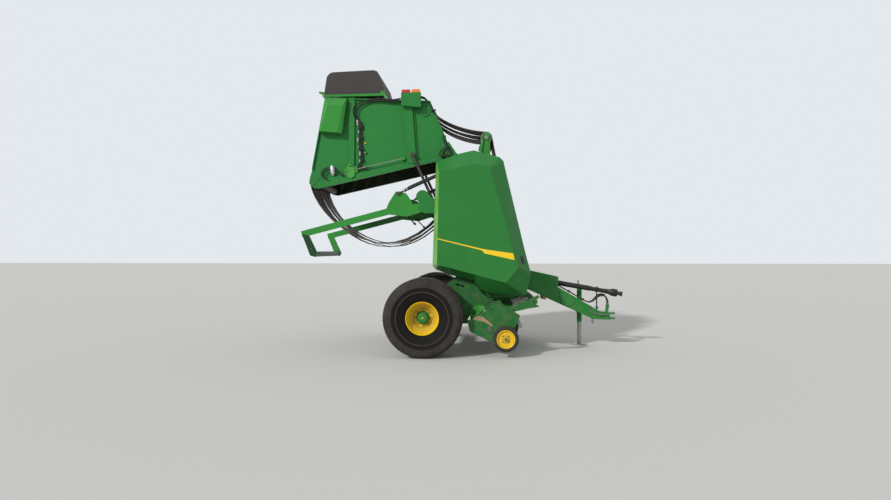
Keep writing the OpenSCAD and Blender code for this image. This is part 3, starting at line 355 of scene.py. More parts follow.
def tyre_side():
    """Tyre rubber: black beside the rim, a scuffed ring half-way, and field dust on the tread."""
    material, tree = new_material("tyre rubber with a scuffed sidewall")
    away = from_axis(tree, 0, TYRE_R)
    shoulder = ramp(tree, away, SHOULDER_FROM, SHOULDER_TO, 0.02, 0.2)
    tread = math(tree, "MAXIMUM", shoulder, ramp(tree, away, TREAD_FROM, TREAD_TO, 0.0, 0.36))
    scuff = ring_mark(tree, away, SCUFF_RADIUS, 0.009, 0.003, 0.28)
    patchy = ramp(tree, noise(tree, 0.16, 6, 0.65), 0.3, 0.7, 0.5, 1.0)
    share = math(tree, "MULTIPLY", math(tree, "MAXIMUM", tread, scuff), patchy)
    surface(tree, Base_Color=mix(tree, share, linear("#100f0e"), linear("#857d74")),
            Roughness=0.72, Specular_IOR_Level=0.15,
            Normal=bump(tree, noise(tree, RUBBER_GRAIN, 2), GRAIN_DEPTH, 0.5))
    return material


scuffed_rubber = tyre_side()
hose_rubber = rubber("black hose rubber", "#1d1c1b", 0.12, 0.002)


def bare_steel(name, hex_colour, roughness, scratch=0.02):
    material, tree = new_material(name)
    worn = noise(tree, scratch, 5, 0.7)
    tarnish = ramp(tree, worn, 0.3, 0.8, 0, 0.35)
    surface(tree, Base_Color=mix(tree, tarnish, linear(hex_colour), linear("#6f675b")),
            Metallic=1.0, Roughness=ramp(tree, worn, 0.2, 0.8, roughness - 0.06, roughness + 0.12))
    return material


# Oiled steel for the chains, sprockets and yokes; on the cylinders' rods its dark colour is painted
# shade.
oiled_and_shaded_steel = bare_steel("dark oiled steel, darkened on the rods as painted shade", "#4b4a47", 0.4, 0.03)
spring_steel = bare_steel("spring steel of the tines", "#6d6a64", 0.42, 0.02)
pale_metal = bare_steel("pale cast aluminium", "#c9cacb", 0.45, 0.01)
dull_zinc = bare_steel("zinc-plated steel, gone dull", "#6f7468", 0.5, 0.01)
zinc = bare_steel("zinc-plated steel", "#a2a197", 0.4)
rolled_steel = bare_steel("rolled steel, worn bright by the belts", "#9a9a96", 0.3, 0.12)
brown_steel = bare_steel("steel of a roll, brown with crop juice", "#4a3a30", 0.5, 0.1)

BELT_DIAMOND = 0.012  # metres from one moulded diamond to the next


def belt_rubber():
    material, tree = new_material("belt rubber with a moulded diamond face")
    along = add(tree, "ShaderNodeUVMap", uv_map="belt").outputs["UV"]
    parts = add(tree, "ShaderNodeSeparateXYZ", {"Vector": along})
    waves = []
    for operation in ("ADD", "SUBTRACT"):
        slope = math(tree, operation, parts.outputs["X"], parts.outputs["Y"])
        waves.append(math(tree, "SINE", math(tree, "MULTIPLY", slope, tau / BELT_DIAMOND)))
    diamonds = math(tree, "MULTIPLY", waves[0], waves[1])
    dusty = ramp(tree, noise(tree, 0.12, 6, 0.65), 0.35, 0.75, 0.05, 0.5)
    surface(tree, Base_Color=mix(tree, dusty, linear("#544b44"), linear("#8a7d70")),
            Roughness=0.7, Normal=bump(tree, diamonds, 0.001, 0.6))
    return material


belt_face = belt_rubber()


def grained(name, hex_colour, roughness, grain, faded=None):
    material, tree = new_material(name)
    share = ramp(tree, noise(tree, 0.2, 5), 0.3, 0.75, 0, 0.5)
    surface(tree, Base_Color=mix(tree, share, linear(hex_colour), linear(faded or hex_colour)),
            Roughness=roughness, Normal=bump(tree, noise(tree, grain, 2, 0.6), 0.0008, 0.6))
    return material


cover_plastic = grained("grained grey plastic, sun-faded", "#2e2a27", 0.7, 0.004, "#403a35")
guard_plastic = grained("black moulded plastic", "#161514", 0.5, 0.003, "#25221e")
stripe_film = grained("yellow vinyl film", "#f2c90f", 0.3, 0.02, "#eec414")
cap_plastic = grained("yellow moulded plastic of a dust cap", "#e6be18", 0.45, 0.004)

FLUTES = 30.0  # scale of the ribbed pattern on the lenses


def lens(name, hex_colour):
    material, tree = new_material(name)
    place = add(tree, "ShaderNodeTexCoord").outputs["Object"]
    flutes = add(tree, "ShaderNodeTexWave", {"Vector": place, "Scale": FLUTES}, bands_direction="Y")
    surface(tree, Base_Color=linear(hex_colour), Roughness=0.18,
            Coat_Weight=0.6, Coat_Roughness=0.05,
            Normal=bump(tree, flutes.outputs["Fac"], 0.001, 0.5))
    return material


red_lens = lens("red lamp lens", "#b8182c")
amber_lens = lens("amber lamp lens", "#dd7a22")
print("materials:", len(bpy.data.materials))

# %% [markdown]
# ## Rounded copies of the solids
#
# The solids have the right sizes, but every edge is a perfect corner, and no folded or cast
# edge is. A corner that is rounded by a millimetre or two catches a thin line of light, and the
# eye reads sheet metal from that line. Each solid is copied, its loose triangles are merged, flat
# parts are joined, and the Bevel modifier rounds what is sharper than thirty degrees. A flat part
# with a hole in it can fold over itself when it is joined to one face, so the drawn triangles
# are compared with the area of the faces, and such a solid is copied with its triangles kept.

# %% Rounded copies
SHARP_CORNER = 30  # degrees; a sharper edge is rounded
SAME_PLACE = 0.00001  # metres; points that are closer are merged
FOLD_LIMIT = 0.002  # a copy that misses a larger share of its area has folded over


def keep_mesh(name, mesh, material, sharp=35):
    mesh.materials.clear()
    mesh.materials.append(material)
    mesh.shade_smooth()
    mesh.set_sharp_from_angle(angle=radians(sharp))
    return placed(name, mesh)


def applied(piece):
    """Takes the modifiers' result as the piece's own mesh."""
    graph = bpy.context.evaluated_depsgraph_get()
    mesh = bpy.data.meshes.new_from_object(piece.evaluated_get(graph))
    piece.modifiers.clear()
    piece.data = mesh
    return piece


def folded_over(mesh):
    """Share by which the drawn triangles miss the area of the faces."""
    mesh.calc_loop_triangles()
    faces = sum(face.area for face in mesh.polygons)
    return abs(sum(t.area for t in mesh.loop_triangles) - faces) / faces


def round_edges(piece, width, segments=2):
    bevel = piece.modifiers.new("round the edges", "BEVEL")
    bevel.width = width * MM
    bevel.segments = segments
    bevel.limit_method = "ANGLE"
    bevel.angle_limit = radians(SHARP_CORNER)
    normals = piece.modifiers.new("keep flats flat", "WEIGHTED_NORMAL")
    normals.keep_sharp = True
    return applied(piece)


def rounded_copy(node, material, width=2.0, segments=2, sharp=35):
    source = nodes[node]
    for join_flats in (True, False):
        work = bmesh.new()
        work.from_mesh(source.data)
        bmesh.ops.remove_doubles(work, verts=work.verts, dist=SAME_PLACE)
        if join_flats:
            bmesh.ops.dissolve_limit(work, angle_limit=radians(1), verts=work.verts,
                                     edges=work.edges)
        mesh = bpy.data.meshes.new(node + "_rounded")
        work.to_mesh(mesh)
        work.free()
        piece = keep_mesh(node + "_rounded", mesh, material, sharp)
        if width:
            round_edges(piece, width, segments)
        if folded_over(piece.data) < FOLD_LIMIT or not join_flats:
            break
        bpy.data.objects.remove(piece)
    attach(piece, source["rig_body"])
    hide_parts(node)
    return piece


rounding = [
    # node, finish, radius of the rounded edge in millimetres
    # The axle plates' darker green is dust and painted shade.
    ("cross_frame", dark_green_enamel, 4), ("axle_plates", dust_and_shade_enamel, 2.5),
    ("axle", black_enamel, 2), ("tongue", green_enamel, 4), ("hitch", green_enamel, 4),
    ("jack_tube", green_enamel, 1.5), ("jack_leg", zinc, 1.5), ("gearbox", black_enamel, 5),
    # The lighter green of the roll tower, bosses, latch, net box and push arms is painted sunlight.
    ("front_panel", green_enamel, 2), ("roll_tower", painted_sunlight_enamel, 2.5),
    # The gate's cross members are painted nearly black.
    ("frame_rolls", rolled_steel, 0), ("gate_cross", nearly_black_inner_enamel, 2),
    ("gate_rolls", brown_steel, 0), ("gate_bosses", painted_sunlight_enamel, 2),
    ("lamp_brackets", green_enamel, 3), ("lamps_red", red_lens, 5), ("lamps_amber", amber_lens, 5),
    ("gate_valves", black_enamel, 4), ("latch_rods", painted_sunlight_enamel, 2),
    ("net_box", painted_sunlight_enamel, 3), ("push_arms", painted_sunlight_enamel, 3), ("push_tube", black_enamel, 2),
    # The pickup and the wind guard are a darker green with dust and painted shade.
    ("pickup_frame", dust_and_shade_enamel, 2), ("pickup_bands", dust_and_shade_enamel, 0),
    ("wind_guard", dust_and_shade_enamel, 2),
]
for side, _ in SIDES:
    rounding += [
        ("brackets_" + side, green_enamel, 3), ("side_sheet_" + side, green_enamel, 2.5),
        ("gate_side_" + side, green_enamel, 2.5), ("gate_barrel_" + side, black_enamel, 1.5),
        # The rods' dark steel is painted shade.
        ("gate_rod_" + side, oiled_and_shaded_steel, 1), ("push_barrel_" + side, black_enamel, 1.5),
        ("push_rod_" + side, oiled_and_shaded_steel, 1), ("hub_" + side, green_enamel, 2),
    ]
for node, finish, radius in rounding:
    rounded_copy(node, finish, radius)
COVER_ROUNDING, SHIELD_ROUNDING = 34, 13
rounded_copy("net_cover", cover_plastic, COVER_ROUNDING, 5)
for side, _ in SIDES:
    rounded_copy("shield_" + side, green_plastic, SHIELD_ROUNDING, 4)
print("rounded copies:", len(rounding) + 3)

# %% [markdown]
# ## Faces with a paint of their own
#
# The inner faces of the side sheets and of the gate are painted nearly black. They are the faces
# that look towards the middle of the machine, which is a question about their normals. Three more
# finishes are found by normal or by place: the forward side of the rib that stands across the gate
# gets painted shade, the rear wall of each shield gets a painted highlight in pale green, and the
# long rod of the gate's latch is bare zinc.

# %% Faces with a paint of their own
def paint_where(name, material, chosen):
    """Gives the faces for which chosen(centre, normal) holds one more material."""
    mesh = bpy.data.objects[name + "_rounded"].data
    mesh.materials.append(material)
    faces = [face for face in mesh.polygons if chosen(face.center, face.normal)]
    for face in faces:
        face.material_index = len(mesh.materials) - 1
    return len(faces)


REAR_WALL_END = 250  # the shields' rear walls lie behind this place
ROD_REACH = 0.007  # metres from the rod's axis to its farthest face
rod_start, rod_end = (on_gate(-150, 0, z) for z in (-718, -1342))
rod_length = (rod_end - rod_start).length
along_rod = (rod_end - rod_start).normalized()


def on_rod(centre, normal):
    far = centre - rod_start
    far.y = 0
    along = far.dot(along_rod)
    return 0 < along < rod_length and (far - along_rod * along).length < ROD_REACH


for side, sign in SIDES:
    for node in ("side_sheet_", "gate_side_"):
        # The faces that look towards the middle of the machine are painted nearly black.
        paint_where(node + side, nearly_black_inner_enamel,
                    lambda c, n: n.y * sign < -0.9 and abs(c.y) < (HALF_CHAMBER + 1) * MM)
    # Painted shade on the faces of the gate's sides that look forward, the rib's forward side among
    # them.
    paint_where("gate_side_" + side, painted_shade_enamel,
                lambda c, n: n.x > 0.55 and abs(c.y) > (SHEET_OUT + 3) * MM)
    # Painted highlight in pale green on the rear wall of each shield.
    paint_where("shield_" + side, painted_highlight_plastic,
                lambda c, n: n.x < -0.45 and n.y * sign > 0.1 and c.x < AXLE_X + REAR_WALL_END * MM)
print("latch rod faces:", paint_where("latch_rods", zinc, on_rod))

# %% [markdown]
# ## Shapes made in code
#
# A few small builders make most of what follows. A plate is an outline in the side view with a
# thickness. A lathe turns a profile round an axis, as the wheel maker does. Each piece is then
# finished: doubled points are merged, the faces are turned outwards, and it rides on its body. A
# probe sends a ray at a solid and tells where it lands, so that small parts sit on the surface.

# %% Builders
def plate(work, outline, y0, y1, place=at, top=None):
    """An outline of (x, z) pairs in millimetres, from y0 to y1, where it can end as another one."""
    low = [work.verts.new(place(x, y0, z)) for x, z in outline]
    high = [work.verts.new(place(x, y1, z)) for x, z in top or outline]
    work.faces.new(low)
    work.faces.new(high[::-1])
    for i in range(len(outline)):
        j = (i + 1) % len(outline)
        work.faces.new((low[j], low[i], high[i], high[j]))


def lathe(work, profile, centre, axis=(0, 1, 0), steps=48, closed=True):
    """Turns (radius, distance along the axis) pairs in millimetres round an axis through centre."""
    turn = Vector(axis).normalized().to_track_quat("Z", "Y")
    circle = [(cos(tau * k / steps), sin(tau * k / steps)) for k in range(steps)]
    rings = [[work.verts.new(centre + turn @ Vector((radius * c, radius * s, along)) * MM)
              for c, s in circle] for radius, along in profile]
    last = len(rings) if closed else len(rings) - 1
    for i in range(last):
        a, b = rings[i], rings[(i + 1) % len(rings)]
        for k in range(steps):
            work.faces.new((a[k], a[(k + 1) % steps], b[(k + 1) % steps], b[k]))
    if not closed:
        work.faces.new(rings[0][::-1])
        work.faces.new(rings[-1])


def rod(work, start, end, radius, steps=12):
    """A round bar between two places."""
    lathe(work, [(radius, 0), (radius, (end - start).length / MM)], start, end - start, steps,
          closed=False)


def block(work, place, x, y, z):
    """A box of three sizes in millimetres, moved and turned by the matrix place."""
    bmesh.ops.create_cube(work, size=1,
                          matrix=place @ Matrix.Diagonal((x * MM, y * MM, z * MM, 1)))


def finished(work, name, body, material, rounding=0.0, sharp=35, stands_for=()):
    bmesh.ops.remove_doubles(work, verts=work.verts, dist=SAME_PLACE / 10)
    bmesh.ops.recalc_face_normals(work, faces=work.faces)
    mesh = bpy.data.meshes.new(name)
    work.to_mesh(mesh)
    work.free()
    piece = keep_mesh(name, mesh, material, sharp)
    if rounding:
        round_edges(piece, rounding)
    if body:
        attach(piece, body)
    if stands_for:
        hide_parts(*stands_for)
    return piece


def both_sides(name, body, material, shapes, rounding=0.0, sharp=35):
    """The same plates left and right, as one piece; shapes are (outline, y0, y1) rows."""
    work = bmesh.new()
    for _, sign in SIDES:
        for outline, y0, y1 in shapes:
            plate(work, outline, sign * y0, sign * y1)
    return finished(work, name, body, material, rounding, sharp)


def facing(direction):
    """The Euler angles that turn the Z axis to a direction."""
    return Vector(direction).to_track_quat("Z", "Y").to_euler()


trees = {}


def probe(node, start, direction):
    """Where a ray from start first meets a solid, and which way the solid faces there."""
    if node not in trees:
        work = bmesh.new()
        work.from_mesh(nodes[node].data)
        work.transform(nodes[node].matrix_world)
        trees[node] = BVHTree.FromBMesh(work)
        work.free()
    place, normal, _, _ = trees[node].ray_cast(start, Vector(direction))
    return place, normal


print("builders ready")

# %% [markdown]
# ## Copies and hoses with Geometry Nodes
#
# A baler has hundreds of equal bolts, tines and tread blocks, and metres of hose. Two node trees
# make them. The first sets one small piece on every point of a mesh, turned and sized by two
# values that each point carries. The second runs a round section along every path of a mesh,
# through a curve that passes all its points. Both end as real mesh with one material.

# %% Node trees
def node_tree(name, inputs):
    tree = bpy.data.node_groups.new(name, "GeometryNodeTree")
    tree.interface.new_socket("Geometry", in_out="INPUT", socket_type="NodeSocketGeometry")
    for label, kind in inputs:
        tree.interface.new_socket(label, in_out="INPUT", socket_type="NodeSocket" + kind)
    tree.interface.new_socket("Geometry", in_out="OUTPUT", socket_type="NodeSocketGeometry")
    return tree, tree.nodes.new("NodeGroupInput").outputs, tree.nodes.new("NodeGroupOutput").inputs


def end_tree(tree, mesh, values, result):
    """Gives the mesh its material and links it to the tree's output."""
    done = add(tree, "GeometryNodeSetMaterial", {"Geometry": mesh, "Material": values["Material"]})
    tree.links.new(done.outputs["Geometry"], result["Geometry"])


copy_tree, values, result = node_tree("copies on points", [
    ("Piece", "Object"), ("Material", "Material")])
small = add(copy_tree, "GeometryNodeObjectInfo", {"Object": values["Piece"]})
turn = add(copy_tree, "GeometryNodeInputNamedAttribute", {"Name": "turn"}, data_type="FLOAT_VECTOR")
size = add(copy_tree, "GeometryNodeInputNamedAttribute", {"Name": "size"}, data_type="FLOAT_VECTOR")
spread = add(copy_tree, "GeometryNodeInstanceOnPoints", {
    "Points": values["Geometry"], "Instance": small.outputs["Geometry"],
    "Rotation": turn.outputs["Attribute"], "Scale": size.outputs["Attribute"]})
real = add(copy_tree, "GeometryNodeRealizeInstances", {"Geometry": spread.outputs["Instances"]})
end_tree(copy_tree, real.outputs["Geometry"], values, result)

hose_tree, values, result = node_tree("hose along a path", [
    ("Radius", "Float"), ("Sides", "Int"), ("Steps", "Int"), ("Material", "Material")])
line = add(hose_tree, "GeometryNodeMeshToCurve", {"Mesh": values["Geometry"]})
bent = add(hose_tree, "GeometryNodeCurveSplineType", {"Curve": line.outputs["Curve"]},
           spline_type="CATMULL_ROM")
fine = add(hose_tree, "GeometryNodeSetSplineResolution", {
    "Geometry": bent.outputs["Curve"], "Resolution": values["Steps"]})
section = add(hose_tree, "GeometryNodeCurvePrimitiveCircle", {
    "Resolution": values["Sides"], "Radius": values["Radius"]})
tube = add(hose_tree, "GeometryNodeCurveToMesh", {
    "Curve": fine.outputs["Geometry"], "Profile Curve": section.outputs["Curve"],
    "Fill Caps": True})
real = add(hose_tree, "GeometryNodeRealizeInstances", {"Geometry": tube.outputs["Mesh"]})
end_tree(hose_tree, real.outputs["Geometry"], values, result)


def run_tree(name, points, edges, tree, settings, body, material, sharp=35, attributes=None):
    """Makes a mesh of points and edges into a piece by one of the node trees."""
    mesh = bpy.data.meshes.new(name)
    mesh.from_pydata(points, edges, [])
    for key, rows in (attributes or {}).items():
        layer = mesh.attributes.new(key, "FLOAT_VECTOR", "POINT")
        layer.data.foreach_set("vector", [c for row in rows for c in row])
    piece = placed(name, mesh)
    modifier = piece.modifiers.new(tree.name, "NODES")
    modifier.node_group = tree
    sockets = {s.name: s.identifier for s in tree.interface.items_tree if s.in_out == "INPUT"}
    for label, value in {**settings, "Material": material}.items():
        modifier[sockets[label]] = value
    applied(piece)
    work = bmesh.new()
    work.from_mesh(piece.data)
    bmesh.ops.recalc_face_normals(work, faces=work.faces)
    work.to_mesh(piece.data)
    work.free()
    piece.data.materials.clear()
    piece.data.materials.append(material)
    piece.data.shade_smooth()
    piece.data.set_sharp_from_angle(angle=radians(sharp))
    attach(piece, body)
    return piece


def copies(name, body, shape, spots, material):
    """shape is a bmesh in millimetres; spots are (place, turn as Euler angles, size) rows."""
    bmesh.ops.remove_doubles(shape, verts=shape.verts, dist=0.0001)
    mesh = bpy.data.meshes.new(name + "_one")
    bmesh.ops.scale(shape, verts=shape.verts, vec=(MM, MM, MM))
    shape.to_mesh(mesh)
    one = placed(name + "_one", mesh)
    sizes = [s if hasattr(s, "__len__") else (s, s, s) for _, _, s in spots]
    piece = run_tree(name, [tuple(p) for p, _, _ in spots], [], copy_tree, {"Piece": one}, body,
                     material, attributes={"turn": [tuple(t) for _, t, _ in spots], "size": sizes})
    bpy.data.objects.remove(one)
    shape.free()
    return piece


def hoses(name, body, paths, radius, material, sides=10, steps=6):
    """paths are lists of places; a hose passes through all of them."""
    points, edges = [], []
    for path in paths:
        edges += [(len(points) + i, len(points) + i + 1) for i in range(len(path) - 1)]
        points += [tuple(p) for p in path]
    settings = {"Radius": radius * MM, "Sides": sides, "Steps": steps}
    return run_tree(name, points, edges, hose_tree, settings, body, material, 60)


print("node trees:", [tree.name for tree in bpy.data.node_groups])

# %% [markdown]
# ## Tyres
#
# The main tyres are wide, low flotation tyres. Their tread has six ribs, with blocks on both
# shoulders, and their sidewalls have raised rings that protect the rim. The small gauge wheels
# have plain ribbed tyres. Profiles are given as radius and distance from the middle plane.

# %% Tyres
def both_halves(half):
    """Closes a profile by repeating its half, mirrored, on the other side of the middle plane."""
    return half + [(r, -y) for r, y in reversed(half)]


tyre_half = [(205, 190), (208, 206), (216, 222), (236, 234), (250, 240), (256, 246), (266, 248),
             (290, 255), (322, 262), (330, 269), (344, 270), (348, 265), (390, 269), (394, 273),
             (404, 273), (408, 269), (432, 267), (452, 262), (470, 257), (484, 247), (493, 236),
             (499, 222), (501, 200), (502, 188), (510, 184), (511, 156), (498, 153), (498, 141),
             (511, 138), (512, 84), (499, 81), (499, 69), (512, 66), (513, 9), (500, 6)]
LUGS, LUG_TILT, LUG_SIZE = 60, 12, (20, 40, 43)  # blocks a side, degrees, millimetres
LUG_RADIUS, LUG_Y = 499, 204
for side, sign in SIDES:
    centre = at(0, sign * WHEEL_Y, TYRE_R)
    work = bmesh.new()
    lathe(work, both_halves(tyre_half), centre, steps=120)
    finished(work, "tyre_" + side + "_dressed", "wheel_" + side, scuffed_rubber,
             stands_for=("tyre_" + side,))
    lug = bmesh.new()
    bmesh.ops.create_cube(lug, size=1)
    bmesh.ops.bevel(lug, geom=lug.edges, offset=0.08, segments=1, affect="EDGES")
    spots = []
    for k in range(LUGS):
        for hand in (-1, 1):
            a = tau * (k + 0.25 * hand) / LUGS
            out = Vector((cos(a), 0, sin(a)))
            turned = (Matrix.Rotation(-a, 4, "Y")
                      @ Matrix.Rotation(radians(LUG_TILT) * hand, 4, "Z")).to_euler()
            place = centre + out * LUG_RADIUS * MM + Vector((0, hand * LUG_Y * MM, 0))
            spots.append((place, turned, LUG_SIZE))
    copies("tread_blocks_" + side, "wheel_" + side, lug, spots, scuffed_rubber)

gauge_half = [(118, 38), (122, 42), (140, 47), (151, 49), (158, 46), (163, 38), (164, 27),
              (160, 25), (160, 19), (165, 17), (165, 3), (161, 2)]
for side, sign in SIDES:
    work = bmesh.new()
    lathe(work, both_halves(gauge_half), at(GAUGE_X, sign * GAUGE_Y, GAUGE_Z), steps=72)
    finished(work, "gauge_tyre_" + side + "_dressed", "gauge_wheel_" + side, tyre_rubber,
             stands_for=("gauge_tyre_" + side,))
print("tyres made, with", 2 * LUGS, "blocks each")

# %% [markdown]
# ## Rims
#
# A rim is two things welded together: a barrel with a rolled flange on both sides, and a dished
# disc that carries it on the hub. Field dirt gathers where the dish turns, as brown rings.

# %% Rims
rim_profile = [(88, 82), (118, 82), (126, 86), (134, 104), (142, 118), (150, 124), (172, 138),
               (178, 146), (190, 156), (194, 170), (195, 205), (199, 220), (204, 230), (208, 234),
               (213, 234), (215, 230), (213, 224), (204.8, 211), (204.8, -211), (213, -224),
               (215, -230), (213, -234), (208, -234), (204, -228), (199, -212), (197, -190),
               (197, 128), (150, 108), (130, 70), (88, 70)]
gauge_rim_profile = [(16, 44), (30, 44), (32, 24), (36, 17), (58, 18), (74, 16), (92, 16),
                     (100, 26), (106, 40), (113, 44), (118, 42), (117.9, 38), (117.9, -38),
                     (118, -42), (112, -43), (104, -36), (92, 6), (36, -6), (30, -44), (16, -44)]
RIM_SHARP = 28
for side, sign in SIDES:
    for kind, body, profile, centre, finish, steps in (
            ("rim_", "wheel_", rim_profile, at(0, sign * WHEEL_Y, TYRE_R), wheel_yellow, 96),
            ("gauge_rim_", "gauge_wheel_", gauge_rim_profile,
             at(GAUGE_X, sign * GAUGE_Y, GAUGE_Z), gauge_yellow, 64)):
        work = bmesh.new()
        lathe(work, [(r, y * sign) for r, y in profile], centre, steps=steps)
        finished(work, kind + side + "_dressed", body + side, finish, sharp=RIM_SHARP,
                 stands_for=(kind + side,))
print("rims made")

# %% [markdown]
# ## Bolts and nuts
#
# A bolt sits where a ray meets a solid, so it can't float or sink. Rows and circles are given in
# the side view, and the ray comes from outside the machine. Only the nuts of the wheels are placed
# without a ray, since the discs that they hold are dressed. The head is a hexagon on a washer.

# %% Bolts
def bolt_shape():
    shape = bmesh.new()
    for sides, radius, low, high in ((14, 1.25, 0.0, 0.22), (6, 1.0, 0.22, 0.95),
                                     (10, 0.55, 0.95, 1.15)):
        bmesh.ops.create_cone(shape, cap_ends=True, segments=sides, radius1=radius,
                              radius2=radius * 0.97, depth=high - low,
                              matrix=Matrix.Translation((0, 0, (low + high) / 2)))
    return shape


bolt_spots = {}


def bolt(body, node, start, direction, size=9):
    place, normal = probe(node, start, direction)
    if place is not None:
        bolt_spots.setdefault(body, []).append((place, facing(normal), size))


def side_bolts(body, node, spots, size=9, place=at):
    """The same row on both sides of the machine; node may hold the word SIDE."""
    for side, sign in SIDES:
        for x, z in spots:
            bolt(body, node.replace("SIDE", side), place(x, sign * OUTSIDE, z), (0, -sign, 0), size)


def ring(x, z, radius, count, start=0.4):
    turns = [start + tau * k / count for k in range(count)]
    return [(x + radius * cos(a), z + radius * sin(a)) for a in turns]


FRAME_ROLLS = [(915, 2400), (1130, 1140), (880, 865), (520, 2260), (520, 722)]
GATE_ROLLS = [(-715, -262), (-1040, -1470), (-110, -1960)]
for x, z in FRAME_ROLLS:
    side_bolts("frame", "side_sheet_SIDE", ring(x, z, 46, 4), 8)
for x, z in GATE_ROLLS:
    side_bolts("gate", "gate_side_SIDE", ring(x, z, 48, 4), 8, on_gate)
side_bolts("gate", "gate_side_SIDE", [(-34 - k * 3, -260 - k * 172) for k in range(10)], 8, on_gate)
side_bolts("gate", "gate_side_SIDE", [(-120, -100), (-200, -110), (-60, 22)], 9, on_gate)
side_bolts("gate", "gate_side_SIDE",
           [(-855, -260), (-935, -560), (-1010, -840), (-1085, -1120), (-1160, -1400)], 6, on_gate)
side_bolts("gate", "latch_rods", [(-150, -1375), (-150, -1495)], 9, on_gate)
side_bolts("gate", "lamp_brackets", [(-820, -500), (-790, -360), (-900, -330)], 7, on_gate)
side_bolts("gate", "net_box",
           [(-1130, -1330), (-1150, -1500), (-720, -1480), (-790, -1690)], 8, on_gate)
side_bolts("gate", "gate_bosses", [(-172, -558)], 16, on_gate)
side_bolts("frame", "axle_plates", [(640, 770), (690, 770), (500, 510), (330, 900), (180, 560),
                                    (40, 420), (500, 420)], 10)
side_bolts("frame", "axle_plates", ring(548, 594, 62, 6), 6)
side_bolts("frame", "brackets_SIDE", [(480, 1900), (530, 1900), (480, 2030), (530, 2030),
                                      (60, 1900), (-80, 2110), (-10, 2140)], 8)
side_bolts("frame", "roll_tower",
           ring(812, 2922, 48, 4) + [(730, 2540), (870, 2540), (800, 2620)], 8)
side_bolts("push_bar", "push_arms",
           [(-500, 1930), (-380, 1962), (-250, 1995), (-1640, 1590), (-1560, 1400)], 9)
side_bolts("pickup", "pickup_frame", [(620, 460), (700, 500), (660, 360), (800, 250), (900, 230),
                                      (905, 690), (985, 700), (1200, 540), (1040, 360),
                                      (1110, 350), (1010, 240)], 8)
side_bolts("pickup", "pickup_frame", ring(720, 540, 34, 4) + ring(1065, 470, 30, 3), 6)
side_bolts("wind_guard", "wind_guard", [(1175, 632), (1400, 700), (1460, 760)], 8)
side_bolts("frame", "tongue", [(1370, 1060), (1370, 900), (1440, 1040), (1440, 860),
                               (1900, 900), (2300, 560), (2500, 440)], 10)
for y in (-60, 60):
    for x in (1380, 1560):
        bolt("frame", "gearbox", at(x, y, 1300), (0, 0, -1), 9)

wheel_nuts = [
    # body, place in the side view, y, radius of the circle, count, first angle, size
    ("wheel_", 0, TYRE_R, WHEEL_Y + 82, 106, 8, 0, 11),
    ("wheel_", 0, TYRE_R, WHEEL_Y + 169, 0, 1, 0, 12),
    ("gauge_wheel_", GAUGE_X, GAUGE_Z, GAUGE_Y + 17.5, 54, 4, tau / 8, 7),
    ("gauge_wheel_", GAUGE_X, GAUGE_Z, GAUGE_Y + 44, 0, 1, 0, 15),
]
for side, sign in SIDES:
    for body, x, z, y, radius, count, start, size in wheel_nuts:
        bolt_spots.setdefault(body + side, []).extend(
            (at(u, sign * y, w), facing((0, sign, 0)), size)
            for u, w in ring(x, z, radius, count, start))
painted_over = {"wheel_right": wheel_yellow, "wheel_left": wheel_yellow}
for body, spots in bolt_spots.items():
    copies("bolts_" + body, body, bolt_shape(), spots, painted_over.get(body, dull_zinc))
print("bolts:", {body: len(spots) for body, spots in bolt_spots.items()})

# %% [markdown]
# ## Belts
#
# Six rubber belts go round the rolls and bridge the open joint, one run high over the hinge and
# one that hangs in slack below the raised gate. Their diamond face needs a place along the belt.
# Each small face gives its own: the distance measured in the direction in which that face runs.
# The two bridging runs are kept as they are drawn and ride on no body.

# %% Belts
def belt_piece(node, body):
    source = nodes[node]
    work = bmesh.new()
    work.from_mesh(source.data)
    bmesh.ops.remove_doubles(work, verts=work.verts, dist=SAME_PLACE)
    layer = work.loops.layers.uv.new("belt")
    for face in work.faces:
        a = atan2(face.normal.z, face.normal.x)
        for corner in face.loops:
            co = corner.vert.co
            corner[layer].uv = (co.y, co.z * cos(a) - co.x * sin(a))
    mesh = bpy.data.meshes.new(node + "_dressed")
    work.to_mesh(mesh)
    work.free()
    piece = keep_mesh(node + "_dressed", mesh, belt_face, 40)
    if body:
        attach(piece, body)
    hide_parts(node)
    return piece


belt_piece("belts_frame", "frame")
belt_piece("belts_gate", "gate")
for node in ("belts_upper", "belts_slack"):
    run = belt_piece(node, None)
    low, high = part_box(node)
    middle = (low[2] + high[2]) / 2
    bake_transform(run)
print("belts made")

# %% [markdown]
# ## Pickup reel, augers and chains
#
# The reel has coil-sprung tines on five bars. A tine leaves the bar, makes two turns and ends in
# a finger that leans back. The augers carry one helical flight each, left- and right-handed, so
# that both push the crop to the middle. Tines and flights are skins over a row of equal loops,
# so one function makes both. Roller chains run round the sprockets. The pickup's side plates
# get a second plate, a black plate as painted shade for a slot, a stop plate and a patch of dry
# crop dust on the ledge.

# %% Pickup, augers and chains
def skin(work, rows):
    """Joins each loop of points to the next one and closes both ends."""
    count = len(rows[0])
    for a, b in zip(rows, rows[1:]):
        for k in range(count):
            work.faces.new((a[k], a[(k + 1) % count], b[(k + 1) % count], b[k]))
    work.faces.new(rows[0][::-1])
    work.faces.new(rows[-1])


